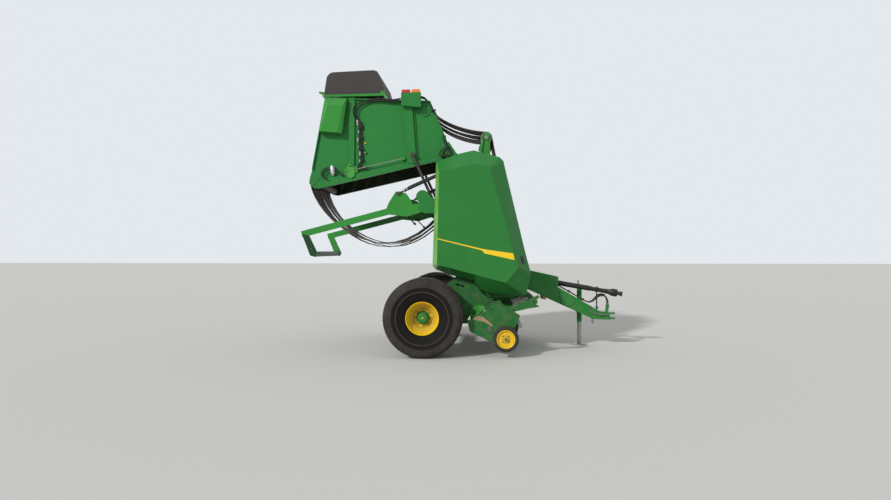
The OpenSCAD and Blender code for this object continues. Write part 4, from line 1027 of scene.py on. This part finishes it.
REEL_X, REEL_Z, REEL_HALF = 1065, 385, 1095
REEL_BARS, BAR_CIRCLE, BAR_R, SHAFT_R, DISC_R = 5, 110, 14, 32, 128
TINE_COUNT, TINE_PITCH = 24, 88
bars = []
for b in range(REEL_BARS):
    a = radians(70) - tau * b / REEL_BARS
    bars.append((REEL_X + BAR_CIRCLE * cos(a), REEL_Z + BAR_CIRCLE * sin(a), a))
work = bmesh.new()
lathe(work, [(SHAFT_R, -REEL_HALF), (SHAFT_R, REEL_HALF)], at(REEL_X, 0, REEL_Z), steps=32,
      closed=False)
for y in (-REEL_HALF, -4, REEL_HALF - 8):
    lathe(work, [(SHAFT_R + 1, y), (DISC_R, y), (DISC_R, y + 8), (SHAFT_R + 1, y + 8)],
          at(REEL_X, 0, REEL_Z), steps=40)
for x, z, _ in bars:
    lathe(work, [(BAR_R, -REEL_HALF), (BAR_R, REEL_HALF)], at(x, 0, z), steps=12, closed=False)
finished(work, "pickup_reel_dressed", "reel", reel_paint, stands_for=("pickup_reel",))

WIRE_R, WIRE_SIDES, COIL_R, COIL_PITCH = 3.2, 6, 17, 9
tine = bmesh.new()
path = [Vector((COIL_R * cos(t), COIL_PITCH * t / tau - COIL_PITCH, COIL_R * sin(t)))
        for t in (k * tau / 8 for k in range(17))]
path += [Vector((x, 9.5, z)) for x, z in ((19, 30), (13, 62), (4, 92), (-7, 112))]
wire = [Vector((WIRE_R * cos(tau * k / WIRE_SIDES), WIRE_R * sin(tau * k / WIRE_SIDES), 0))
        for k in range(WIRE_SIDES)]
rows = []
for i, p in enumerate(path):
    heading = (path[min(i + 1, len(path) - 1)] - path[max(i - 1, 0)]).to_track_quat("Z", "Y")
    rows.append([tine.verts.new(p + heading @ corner) for corner in wire])
skin(tine, rows)
tines = [(at(x, (k - (TINE_COUNT - 1) / 2) * TINE_PITCH, z),
          Matrix.Rotation(pi / 2 - a, 4, "Y").to_euler(), 1)
         for x, z, a in bars for k in range(TINE_COUNT)]
copies("reel_tines", "reel", tine, tines, spring_steel)

AUGER_X, AUGER_Z, AUGER_IN, AUGER_OUT, AUGER_R = 720, 540, 797, 1095, 122
FLIGHT_TURNS, FLIGHT_STEPS, FLIGHT_FOOT, FLIGHT_THICK = 1.5, 54, 44, 6
work = bmesh.new()
for _, sign in SIDES:
    centre = at(AUGER_X, 0, AUGER_Z)
    lathe(work, [(r, sign * y) for r, y in ((45, AUGER_IN), (45, AUGER_OUT), (22, AUGER_OUT),
                                            (22, AUGER_IN))], centre, steps=40)
    rows = []
    for k in range(FLIGHT_STEPS + 1):
        a = tau * FLIGHT_TURNS * k / FLIGHT_STEPS * sign
        y = AUGER_IN + 14 + (AUGER_OUT - AUGER_IN - 34) * k / FLIGHT_STEPS
        rows.append([work.verts.new(centre + Vector((r * cos(a), sign * (y + d), r * sin(a))) * MM)
                     for r, d in ((FLIGHT_FOOT, 0), (AUGER_R, 0), (AUGER_R, FLIGHT_THICK),
                                  (FLIGHT_FOOT, FLIGHT_THICK))])
    skin(work, rows)
# The augers' lighter green is painted sunlight.
finished(work, "feed_augers_dressed", "augers", painted_sunlight_enamel, stands_for=("feed_augers",))

SPROCKETS = [(520, 722, 92), (880, 865, 66), (1130, 1140, 84)]  # x, z, radius
CHAIN_PITCH, CHAIN_Y, CHAIN_STEPS = 25.4, SHEET_OUT + 38.3, 720


def chain_path():
    """The tight loop round the sprockets, as (place, slope) rows one pitch apart."""
    loop = []
    for k in range(CHAIN_STEPS):
        d = Vector((cos(tau * k / CHAIN_STEPS), sin(tau * k / CHAIN_STEPS)))
        x, z, r = max(SPROCKETS, key=lambda s: s[0] * d.x + s[1] * d.y + s[2])
        loop.append(Vector((x, z)) + d * (r + 4))
    lengths = [(loop[(i + 1) % CHAIN_STEPS] - p).length for i, p in enumerate(loop)]
    count = round(sum(lengths) / CHAIN_PITCH)
    step, walked, spots, i = sum(lengths) / count, 0.0, [], 0
    for n in range(count):
        while walked + lengths[i] < n * step:
            walked += lengths[i]
            i += 1
        along = (loop[(i + 1) % CHAIN_STEPS] - loop[i]).normalized()
        spots.append((loop[i] + along * (n * step - walked), atan2(along.y, along.x)))
    return spots


link = bmesh.new()
for y in (-4.75, 4.75):
    bmesh.ops.create_cube(link, size=1, matrix=Matrix.Translation((0, y, 0))
                          @ Matrix.Diagonal((24, 1.5, 11, 1)))
bmesh.ops.create_cone(link, cap_ends=True, segments=10, radius1=5.6, radius2=5.6, depth=11,
                      matrix=Matrix.Translation((-CHAIN_PITCH / 2, 0, 0))
                      @ Matrix.Rotation(pi / 2, 4, "X"))
links = [(at(p.x, sign * CHAIN_Y, p.y), Matrix.Rotation(-a, 4, "Y").to_euler(), 1)
         for _, sign in SIDES for p, a in chain_path()]
copies("chain_links", "frame", link, links, oiled_and_shaded_steel)
work = bmesh.new()
for x, z, r in SPROCKETS:
    teeth = round(tau * r / CHAIN_PITCH)
    for _, sign in SIDES:
        outline = []
        for k in range(teeth * 4):
            q = r + (4 if k % 4 in (0, 1) else -5)
            outline.append((x + q * cos(tau * k / teeth / 4), z + q * sin(tau * k / teeth / 4)))
        plate(work, outline, sign * (SHEET_OUT + 35.5), sign * (SHEET_OUT + 41.5))
        lathe(work, [(q, sign * (SHEET_OUT + y)) for q, y in ((10, 34), (30, 34), (30, 52),
                                                              (10, 52))], at(x, 0, z), steps=20)
finished(work, "sprockets_dressed", "frame", oiled_and_shaded_steel, stands_for=("chain_drive",))

PLATE_Y = 1108  # outer face of the pickup's side plates
both_sides("dust_patches", "pickup", crop_dust, [
    ([(640, 499), (708, 530), (767, 520), (812, 486), (858, 448), (903, 407), (880, 400),
      (838, 428), (772, 460), (700, 476), (652, 488)], PLATE_Y - 1, PLATE_Y + 1.5)])
# The second side plates are a darker green with dust and painted shade.
both_sides("pickup_upper_plates", "pickup", dust_and_shade_enamel, [
    ([(790, 535), (828, 590), (838, 632), (905, 690), (980, 702), (1004, 664), (1236, 520),
      (1186, 392), (1120, 398), (967, 402)], PLATE_Y - 1, PLATE_Y + 5)], 1.5)
# Painted shade: a thin black plate stands where a slot would look dark.
both_sides("pickup_slots", "pickup", guard_plastic, [
    ([(850, 612), (900, 622), (901, 632), (850, 622)], PLATE_Y + 4, PLATE_Y + 5.6)])
both_sides("pickup_stop_plates", "pickup", dull_zinc, [
    ([(822, 392), (862, 396), (886, 366), (884, 330), (850, 318), (828, 350)],
     PLATE_Y - 1, PLATE_Y + 8)], 1.5)
print("tines:", len(tines), "chain links:", len(links))

# %% [markdown]
# ## Drive shaft
#
# The drive shaft turns inside a black plastic guard that doesn't have to turn with it. The guard
# is two tubes, one inside the other, with a ribbed cone at both ends over the joints.

# %% Drive shaft
SHAFT_FROM, SHAFT_TO = at(1690, 0, 938), at(2761, 0, 752)
shaft = SHAFT_TO - SHAFT_FROM
LENGTH = shaft.length / MM
guard = [(12, 44), (30, 44), (40, 50), (52, 62), (54, 78), (50, 82), (54, 86), (54, 100),
         (50, 104), (54, 108), (53, 128), (46, 146), (38, 160), (36, 176), (36, 600), (31.5, 604),
         (31, 880), (36, 886), (38, 905), (46, 920), (53, 938), (54, 958), (50, 962), (54, 966),
         (54, 980), (50, 984), (54, 988), (52, 1010), (36, 1022), (12, 1022)]
COLLAR_R = 39
work = bmesh.new()
lathe(work, guard, SHAFT_FROM, shaft, steps=40)
for along in (190, 560, 620, 860):
    lathe(work, [(30, along - 5), (COLLAR_R, along - 5), (COLLAR_R, along + 5), (30, along + 5)],
          SHAFT_FROM, shaft, steps=40)
finished(work, "shaft_guard", "drive_shaft", guard_plastic, stands_for=("driveline",))
work = bmesh.new()
lathe(work, [(14.3, 2), (22, 2), (26, 12), (26, 52), (18, 66), (14.3, 66)],
      SHAFT_FROM, shaft, steps=28)
lathe(work, [(r, LENGTH - back) for r, back in ((11, 66), (24, 62), (27, 46), (27, 30), (35, 28),
                                                (35, 1), (20, 0), (11, 0))],
      SHAFT_FROM, shaft, steps=28)
finished(work, "shaft_yokes", "drive_shaft", oiled_and_shaded_steel)
print("drive shaft made,", round(LENGTH), "mm long")

# %% [markdown]
# ## Stripe and latch on the shields
#
# A yellow film runs along each shield: a thin line from the rear that swells into a long block
# near the front. The film is a few tenths of a millimetre thick and lies on the shield's face.
# Ahead of it, on the sloping part, a black latch holds the shield shut.

# %% Stripe and latch
stripe = [(176, 1537), (176, 1526), (736, 1385), (762, 1374), (778, 1352), (796, 1338),
          (1176, 1255), (1180, 1259), (1162, 1336), (1156, 1341), (830, 1387), (736, 1404)]
FILM = 0.4
for side, sign in SIDES:
    work = bmesh.new()
    face, _ = probe("shield_" + side, at(300, sign * OUTSIDE, 1500), (0, -sign, 0))
    film_y = abs(face.y) / MM
    plate(work, stripe, sign * (film_y - 2), sign * (film_y + FILM))
    finished(work, "stripe_" + side, "shield_" + side, stripe_film)
    middle, normal = probe("shield_" + side, at(1290, sign * OUTSIDE, 1254), (0, -sign, 0))
    up = (at(1278, 0, 1297) - at(1302, 0, 1211)).normalized()
    up = (up - normal * up.dot(normal)).normalized()
    turned = Matrix((up.cross(normal), up, normal)).transposed().to_4x4()
    work = bmesh.new()
    for wide, tall, low, high in ((64, 104, -3, 3), (48, 86, 2.5, 7), (26, 30, 6.5, 12)):
        place = Matrix.Translation(middle + normal * (low + high) / 2 * MM) @ turned
        block(work, place, wide, tall, high - low)
    finished(work, "shield_latch_" + side, "shield_" + side, guard_plastic, 1.5)
print("stripes on both shields")

# %% [markdown]
# ## Hoses, valves and clamps on the gate
#
# Oil for the net wrap and the gate's latch comes along the gate. The hoses cross from the lamp
# bracket under the net tray, then run down beside the narrow rib past a row of valves. All of
# them are clamped, so they are drawn as they lie and ride on the gate. They are on the right
# side only, the one that the photograph shows. The pressed panels at the ends of the net box and
# the hooks that lock the gate are on both sides.

# %% Hoses on the gate
def gate_path(rows):
    """Places on the right side of the gate; the third number is the way out from the sheet."""
    return [on_gate(x, -(SHEET_OUT + out), z) for x, z, out in rows]


along_top = [(-560, -95, 20), (-720, -150, 24), (-880, -215, 26), (-935, -300, 40),
             (-950, -405, 62), (-955, -548, 62), (-970, -669, 44), (-1006, -774, 50),
             (-1034, -879, 40), (-1044, -991, 30), (-1040, -1104, 28), (-1020, -1170, 34),
             (-975, -1210, 40), (-908, -1226, 34), (-829, -1215, 28)]
below_it = [(x + 26, z + 10, out) for x, z, out in along_top[:-5]]
below_it += [(-1000, -1090, 30), (-965, -1150, 32), (-900, -1185, 34), (-842, -1190, 30),
             (-770, -1176, 24)]
down_rib = [(-790, -1196, 30), (-690, -1188, 26), (-600, -1220, 22), (-520, -1228, 24),
            (-430, -1254, 22), (-330, -1262, 26), (-235, -1290, 24), (-180, -1330, 22),
            (-150, -1300, 26), (-140, -1210, 34), (-160, -1150, 30)]
beside_it = [(x - 6, z + 34, max(out - 6, 12)) for x, z, out in down_rib[:-3]]
beside_it += [(-150, -1270, 22), (-110, -1180, 52)]
nose_loop = [(-96, -1560, 46), (-150, -1590, 40), (-215, -1640, 34), (-262, -1720, 30),
             (-250, -1810, 30), (-190, -1850, 34), (-140, -1830, 44), (-110, -1790, 52)]
inner_loop = [(x * 0.86 - 8, z + 18, out + 14) for x, z, out in nose_loop]
hinge_loop = [(-150, -60, 22), (-120, -130, 40), (-60, -170, 58), (-30, -110, 66),
              (-60, -50, 60), (-130, -40, 44), (-240, -70, 26), (-330, -60, 18)]
outer_loop = [(x - 18, z - 26, out + 16) for x, z, out in hinge_loop]
for name, first, second, radius in (("gate", along_top, below_it, 10),
                                    ("valve", down_rib, beside_it, 7),
                                    ("nose", nose_loop, inner_loop, 9),
                                    ("hinge", hinge_loop, outer_loop, 8)):
    hoses(name + "_hoses_right", "gate", [gate_path(first), gate_path(second)], radius,
          hose_rubber)

work = bmesh.new()
fittings = [
    # x, z, gap to the sheet, radius, length
    (-771, -1199, 14, 20, 74), (-640, -1212, 12, 15, 40), (-536, -1246, 12, 17, 46),
    (-430, -1262, 12, 14, 36), (-346, -1258, 12, 18, 52), (-250, -1282, 12, 13, 30),
]
for x, z, out, radius, length in fittings:
    start = on_gate(x - length / 2, -(SHEET_OUT + out + radius), z)
    end = on_gate(x + length / 2, -(SHEET_OUT + out + radius), z - 12)
    lathe(work, [(radius * 0.6, -8), (radius * 0.6, 0), (radius, 2), (radius, length * 0.4),
                 (radius * 0.8, length * 0.45), (radius * 0.8, length - 2),
                 (radius * 0.55, length)], start, end - start, 16, closed=False)
lathe(work, [(8, 0), (15, 4), (15, 26), (10, 34)], on_gate(-350, -SHEET_OUT, -1192), (0, -1, 0),
      18, closed=False)
finished(work, "gate_fittings", "gate", zinc)
work = bmesh.new()
lathe(work, [(12, -2), (12, 16), (7, 20)], on_gate(-479, -SHEET_OUT, -1160), (0, -1, 0), 16,
      closed=False)
finished(work, "cap_on_the_gate", "gate", cap_plastic)
work = bmesh.new()
start, end = gate_path([(-150, -1690, 40), (-280, -1676, 40)])
lathe(work, [(14, -14), (14, 0), (30, 4), (33, 14), (33, 104), (28, 118), (12, 128), (12, 136)],
      start, end - start, 28, closed=False)
finished(work, "accumulator", "gate", pale_metal)
work = bmesh.new()
for x, z in ((-700, -150), (-1036, -940), (-690, -1188), (-430, -1254)):
    plate(work, [(x - 9, z - 24), (x + 9, z - 24), (x + 9, z + 40), (x - 9, z + 40)],
          -(SHEET_OUT + 0.5), -(SHEET_OUT + 40), on_gate)
finished(work, "hose_clamps", "gate", black_enamel, 2)

PANEL_SHARP = 8  # keeps the folds of a panel crisp
for side, sign in SIDES:
    work = bmesh.new()
    plate(work, [(-1194, -1559), (-1118, -1272), (-666, -1441), (-765, -1743)],
          sign * (SHEET_OUT + 99), sign * (SHEET_OUT + 122), on_gate,
          [(-1086, -1541), (-1036, -1339), (-690, -1486), (-762, -1716)])
    # The wing panels' lighter green is painted sunlight.
    finished(work, "net_wing_panel_" + side, "gate", painted_sunlight_enamel, sharp=PANEL_SHARP)
    work = bmesh.new()
    for outline, y0, y1 in (
            ([(-250, -1428), (-214, -1396), (-130, -1380), (-62, -1402), (-42, -1460),
              (-92, -1500), (-150, -1468), (-206, -1482)], 46, 58),
            ([(-232, -1452), (-214, -1452), (-214, -1400), (-232, -1400)], 46, 78),
            ([(-800, -1400), (-736, -1398), (-722, -1424), (-760, -1440), (-800, -1426)],
             -1, 26)):
        plate(work, outline, sign * (SHEET_OUT + y0), sign * (SHEET_OUT + y1), on_gate)
    # The hooks' lighter green is a painted highlight.
    finished(work, "latch_hook_" + side, "gate", highlight_hook_enamel, 1.5)
print("gate hoses made")

# %% [markdown]
# ## Lines on the frame, the tongue and the arms
#
# Four rubber hoses rise from couplings on a rack at the hitch, follow the tongue on clips and go
# into its box under the front panel. A safety chain hangs beside them, and a bracket holds the
# end of the parked drive shaft. Under each arm of the push bar hangs a short black rod, and a
# dark plate, painted shade, covers the outer side of its foot. An amber reflector stands at each
# side of the tongue.

# %% Lines and small parts
cable = [(1850, 812), (1862, 700), (1880, 628), (1930, 590), (2000, 584), (2050, 610), (2075, 650)]
hoses("cable_below_tongue", "frame",
      [[at(x, -158 + (x - cable[0][0]) * 0.14, z) for x, z in cable]], 5, hose_rubber)
HOSE_ROWS = (-52, -26, 0, 26)  # the four hoses lie side by side, their middle at HOSE_MIDDLE
HOSE_MIDDLE, TONGUE_SLOPE = -13, 30
run = []
for k, y in enumerate(HOSE_ROWS):
    top = [(1790, 872), (1838, 868), (1900, 834), (2060, 744), (2240, 640), (2330, 640),
           (2420, 710 + 6 * k), (2505, 715 + 6 * k), (2545, 660), (2552, 610)]
    run.append([at(x, y, z + 10) for x, z in top])
hoses("tongue_hoses", "frame", run, 9, hose_rubber)
work = bmesh.new()
for x, z in ((2000, 791), (2200, 674), (2400, 560)):
    block(work, Matrix.Translation(at(x, HOSE_MIDDLE, z))
          @ Matrix.Rotation(radians(TONGUE_SLOPE), 4, "Y"), 22, 112, 34)
finished(work, "hose_clips", "frame", black_enamel, 2)
work = bmesh.new()
for y in HOSE_ROWS:
    lathe(work, [(8, -6), (12, 0), (12, 26), (9, 30), (9, 52), (7, 54)], at(2552, y, 622),
          (0, 0, -1), 16, closed=False)
finished(work, "hose_couplings", "frame", zinc, sharp=30)
work = bmesh.new()
for y in (-75, 49):
    plate(work, [(2528, 488), (2548, 488), (2566, 600), (2540, 606)], y, y - 6)
block(work, Matrix.Translation(at(2552, HOSE_MIDDLE, 600)), 34, 140, 6)
finished(work, "hose_rack", "frame", green_enamel, 1)
work = bmesh.new()
rod(work, at(2400, 0, 520), at(2400, 0, 772), 9)
lathe(work, [(41, -6), (47, -6), (47, 6), (41, 6)], at(2400, 0, 815), (1, 0, -0.17), 32)
finished(work, "shaft_rest", "frame", black_enamel)

LINK_STEPS, LINK_SIDES, LINK_WIRE = 20, 6, 3.6
chain_link = bmesh.new()
loops = []
for i in range(LINK_STEPS):
    a = tau * i / LINK_STEPS
    centre = Vector((13 * cos(a) + (12 if cos(a) > 0 else -12), 11 * sin(a), 0))
    out = Vector((cos(a), sin(a), 0)) * LINK_WIRE
    up = Vector((0, 0, LINK_WIRE))
    loops.append([chain_link.verts.new(centre + out * cos(tau * k / LINK_SIDES)
                                       + up * sin(tau * k / LINK_SIDES))
                  for k in range(LINK_SIDES)])
for i, a in enumerate(loops):
    b = loops[(i + 1) % LINK_STEPS]
    for k in range(LINK_SIDES):
        j = (k + 1) % LINK_SIDES
        chain_link.faces.new((a[k], a[j], b[j], b[k]))
CHAIN_LINKS, LINK_SIZE = 26, 0.62
CHAIN_RUN, CHAIN_DROP, CHAIN_SAG, CHAIN_BOW = 330, 80, 190, 30
spots = []
for k in range(CHAIN_LINKS):
    t = k / (CHAIN_LINKS - 1)
    place = at(2230 + CHAIN_RUN * t, -84 - CHAIN_BOW * sin(pi * t),
               560 - CHAIN_DROP * t - CHAIN_SAG * t * (1 - t))
    slope = atan2(-CHAIN_DROP - CHAIN_SAG * (1 - 2 * t), CHAIN_RUN)
    turned = Matrix.Rotation(-slope, 4, "Y") @ Matrix.Rotation(pi / 2 * (k % 2), 4, "X")
    spots.append((place, turned.to_euler(), LINK_SIZE))
copies("safety_chain", "frame", chain_link, spots, zinc)

work = bmesh.new()
for _, sign in SIDES:
    rod(work, at(-296, sign * 700, 1887), at(-160, sign * 700, 1742), 8)
    rod(work, at(-296, sign * 700, 1887), at(-296, sign * 748, 1887), 8)
    lathe(work, [(8, 0), (15, 4), (15, 34), (8, 40)], at(-172, sign * 700, 1755),
          (0.68, 0, -0.73), 14, closed=False)
finished(work, "arm_rods", "push_bar", black_enamel)

ARM_SLOPE = radians(14.5)
PIVOT_X, PIVOT_Z = -34, 1964


def on_arm(back, up):
    """A place on the push bar's arm: the way back along it from its pivot, and up from there."""
    return (PIVOT_X - cos(ARM_SLOPE) * back - sin(ARM_SLOPE) * up,
            PIVOT_Z - sin(ARM_SLOPE) * back + cos(ARM_SLOPE) * up)


foot_x, foot_z = on_arm(1612, -240)
# A dark plate in painted shade on the outer side of each foot.
both_sides("foot_plates", "push_bar", painted_shade_enamel, [
    ([on_arm(1696, 70), on_arm(1606, 16), (foot_x + 51, foot_z + 8), (foot_x + 28, foot_z - 36),
      (foot_x - 41, foot_z - 18)], 784, 788)], 1)

work = bmesh.new()
for _, sign in SIDES:
    rod(work, at(2344, sign * 60, 400), at(2344, sign * 60, 345), 7)
    lathe(work, [(8, 0), (12, 3), (12, 9), (8, 12)], at(2344, sign * 60, 345), (0, 0, -1), 14,
          closed=False)
finished(work, "tongue_pins", "frame", zinc)
both_sides("side_reflectors", "frame", amber_lens,
           [([(1618, 748), (1664, 736), (1664, 672), (1618, 684)], 112, 120)], 2)
both_sides("reflector_brackets", "frame", green_enamel,
           [([(1600, 800), (1624, 790), (1624, 676), (1600, 684)], 102, 112)], 1)
print("tongue dressed")

# %% [markdown]
# ## Cylinders
#
# A gland nut closes the end of each barrel, and a steel line joins two ports on its side or top.
# All of it rides on the barrel, so it swings with it.

# %% Cylinders
def cylinder_dress(name, base, eye, barrel, y, radius, line_on_top=False):
    """Gland, ports and line of a cylinder; barrel is the length of its barrel."""
    start, end = at(base[0], y, base[1]), at(eye[0], y, eye[1])
    u = (end - start).normalized()
    out = Vector((0, 1 if y > 0 else -1, 0))
    work = bmesh.new()
    lathe(work, [(radius * 0.62, barrel - 26), (radius + 3, barrel - 26), (radius + 3, barrel - 2),
                 (radius * 0.8, barrel + 4), (radius * 0.62, barrel + 4)], start, u, 28)
    for along in (70, barrel - 60):
        foot = start + u * along * MM
        rod(work, foot, foot + out * (radius + 12) * MM, 9, 12)
        lathe(work, [(11, 0), (13, 2), (13, 12), (11, 14)], foot + out * (radius + 10) * MM, out,
              12, closed=False)
    finished(work, "ports_" + name, name, zinc, sharp=30)
    across = u.cross(Vector((0, 1, 0)))
    at_port = out * (radius + 16) * MM
    between = -across * (radius + 4) * MM if line_on_top else at_port + across * 8 * MM
    path = [start + u * along * MM + way
            for along, way in ((72, at_port), (120, between), (barrel * 0.5, between),
                               (barrel - 110, between), (barrel - 62, at_port))]
    hoses("line_" + name, name, [path], 6, black_enamel, 8)


GATE_EYE, PUSH_EYE = raised(-172, -558), (-378, 2150)
for side, sign in SIDES:
    cylinder_dress("gate_barrel_" + side, (533, 1084), GATE_EYE, 930, sign * 683, 36)
    cylinder_dress("push_barrel_" + side, (480, 2530), PUSH_EYE, 860, sign * 765, 20,
                   line_on_top=True)
print("cylinders dressed")

# %% [markdown]
# ## Floor and light
#
# The machine stands on a plain pale floor under a pale sky. One soft sun comes from the rear on
# the camera's side, as in the photograph: rear edges and tops are bright, the sides are even,
# and fronts are dark. The sky and the floor fill the shadows. Both are set so that a colour
# renders about as it is written. With the light path, the camera and the reflections see a
# brighter sky than the one that lights the machine.

# %% Floor and light
FLOOR_HALF = 60  # metres
SKY_STRENGTH, SUN_STRENGTH, SUN_WIDTH = 0.55, 2.3, 4
SUN_HEIGHT, SUN_TURN = 30, -38  # degrees
floor_mesh = bpy.data.meshes.new("floor")
floor_mesh.from_pydata([(x * FLOOR_HALF, y * FLOOR_HALF, 0)
                        for x, y in ((-1, -1), (1, -1), (1, 1), (-1, 1))], [], [(0, 1, 2, 3)])
floor = placed("floor", floor_mesh)
floor_material, tree = new_material("pale floor")
surface(tree, Base_Color=linear("#cfcfcb"), Roughness=0.9, Specular_IOR_Level=0.1)
floor_mesh.materials.append(floor_material)

world = bpy.data.worlds.new("pale sky")
world.use_nodes = True
bpy.context.scene.world = world
tree = world.node_tree
tree.nodes.clear()
path = add(tree, "ShaderNodeLightPath")
through = math(tree, "MAXIMUM", path.outputs["Is Glossy Ray"], path.outputs["Is Transmission Ray"])
seen = math(tree, "MAXIMUM", path.outputs["Is Camera Ray"], through)
light = add(tree, "ShaderNodeBackground", {"Color": linear("#ffffff"), "Strength": SKY_STRENGTH})
sky = add(tree, "ShaderNodeBackground", {"Color": linear("#e4e9ee"), "Strength": 1.0})
both = add(tree, "ShaderNodeMixShader", {0: seen, 1: light.outputs[0], 2: sky.outputs[0]})
add(tree, "ShaderNodeOutputWorld", {"Surface": both.outputs[0]})

sun_data = bpy.data.lights.new("sun", "SUN")
sun_data.energy = SUN_STRENGTH
sun_data.angle = radians(SUN_WIDTH)
sun = placed("sun", sun_data)
sun.rotation_euler = (radians(90 - SUN_HEIGHT), 0, radians(SUN_TURN))
bpy.context.scene.view_settings.view_transform = "Standard"
print("floor and light made")
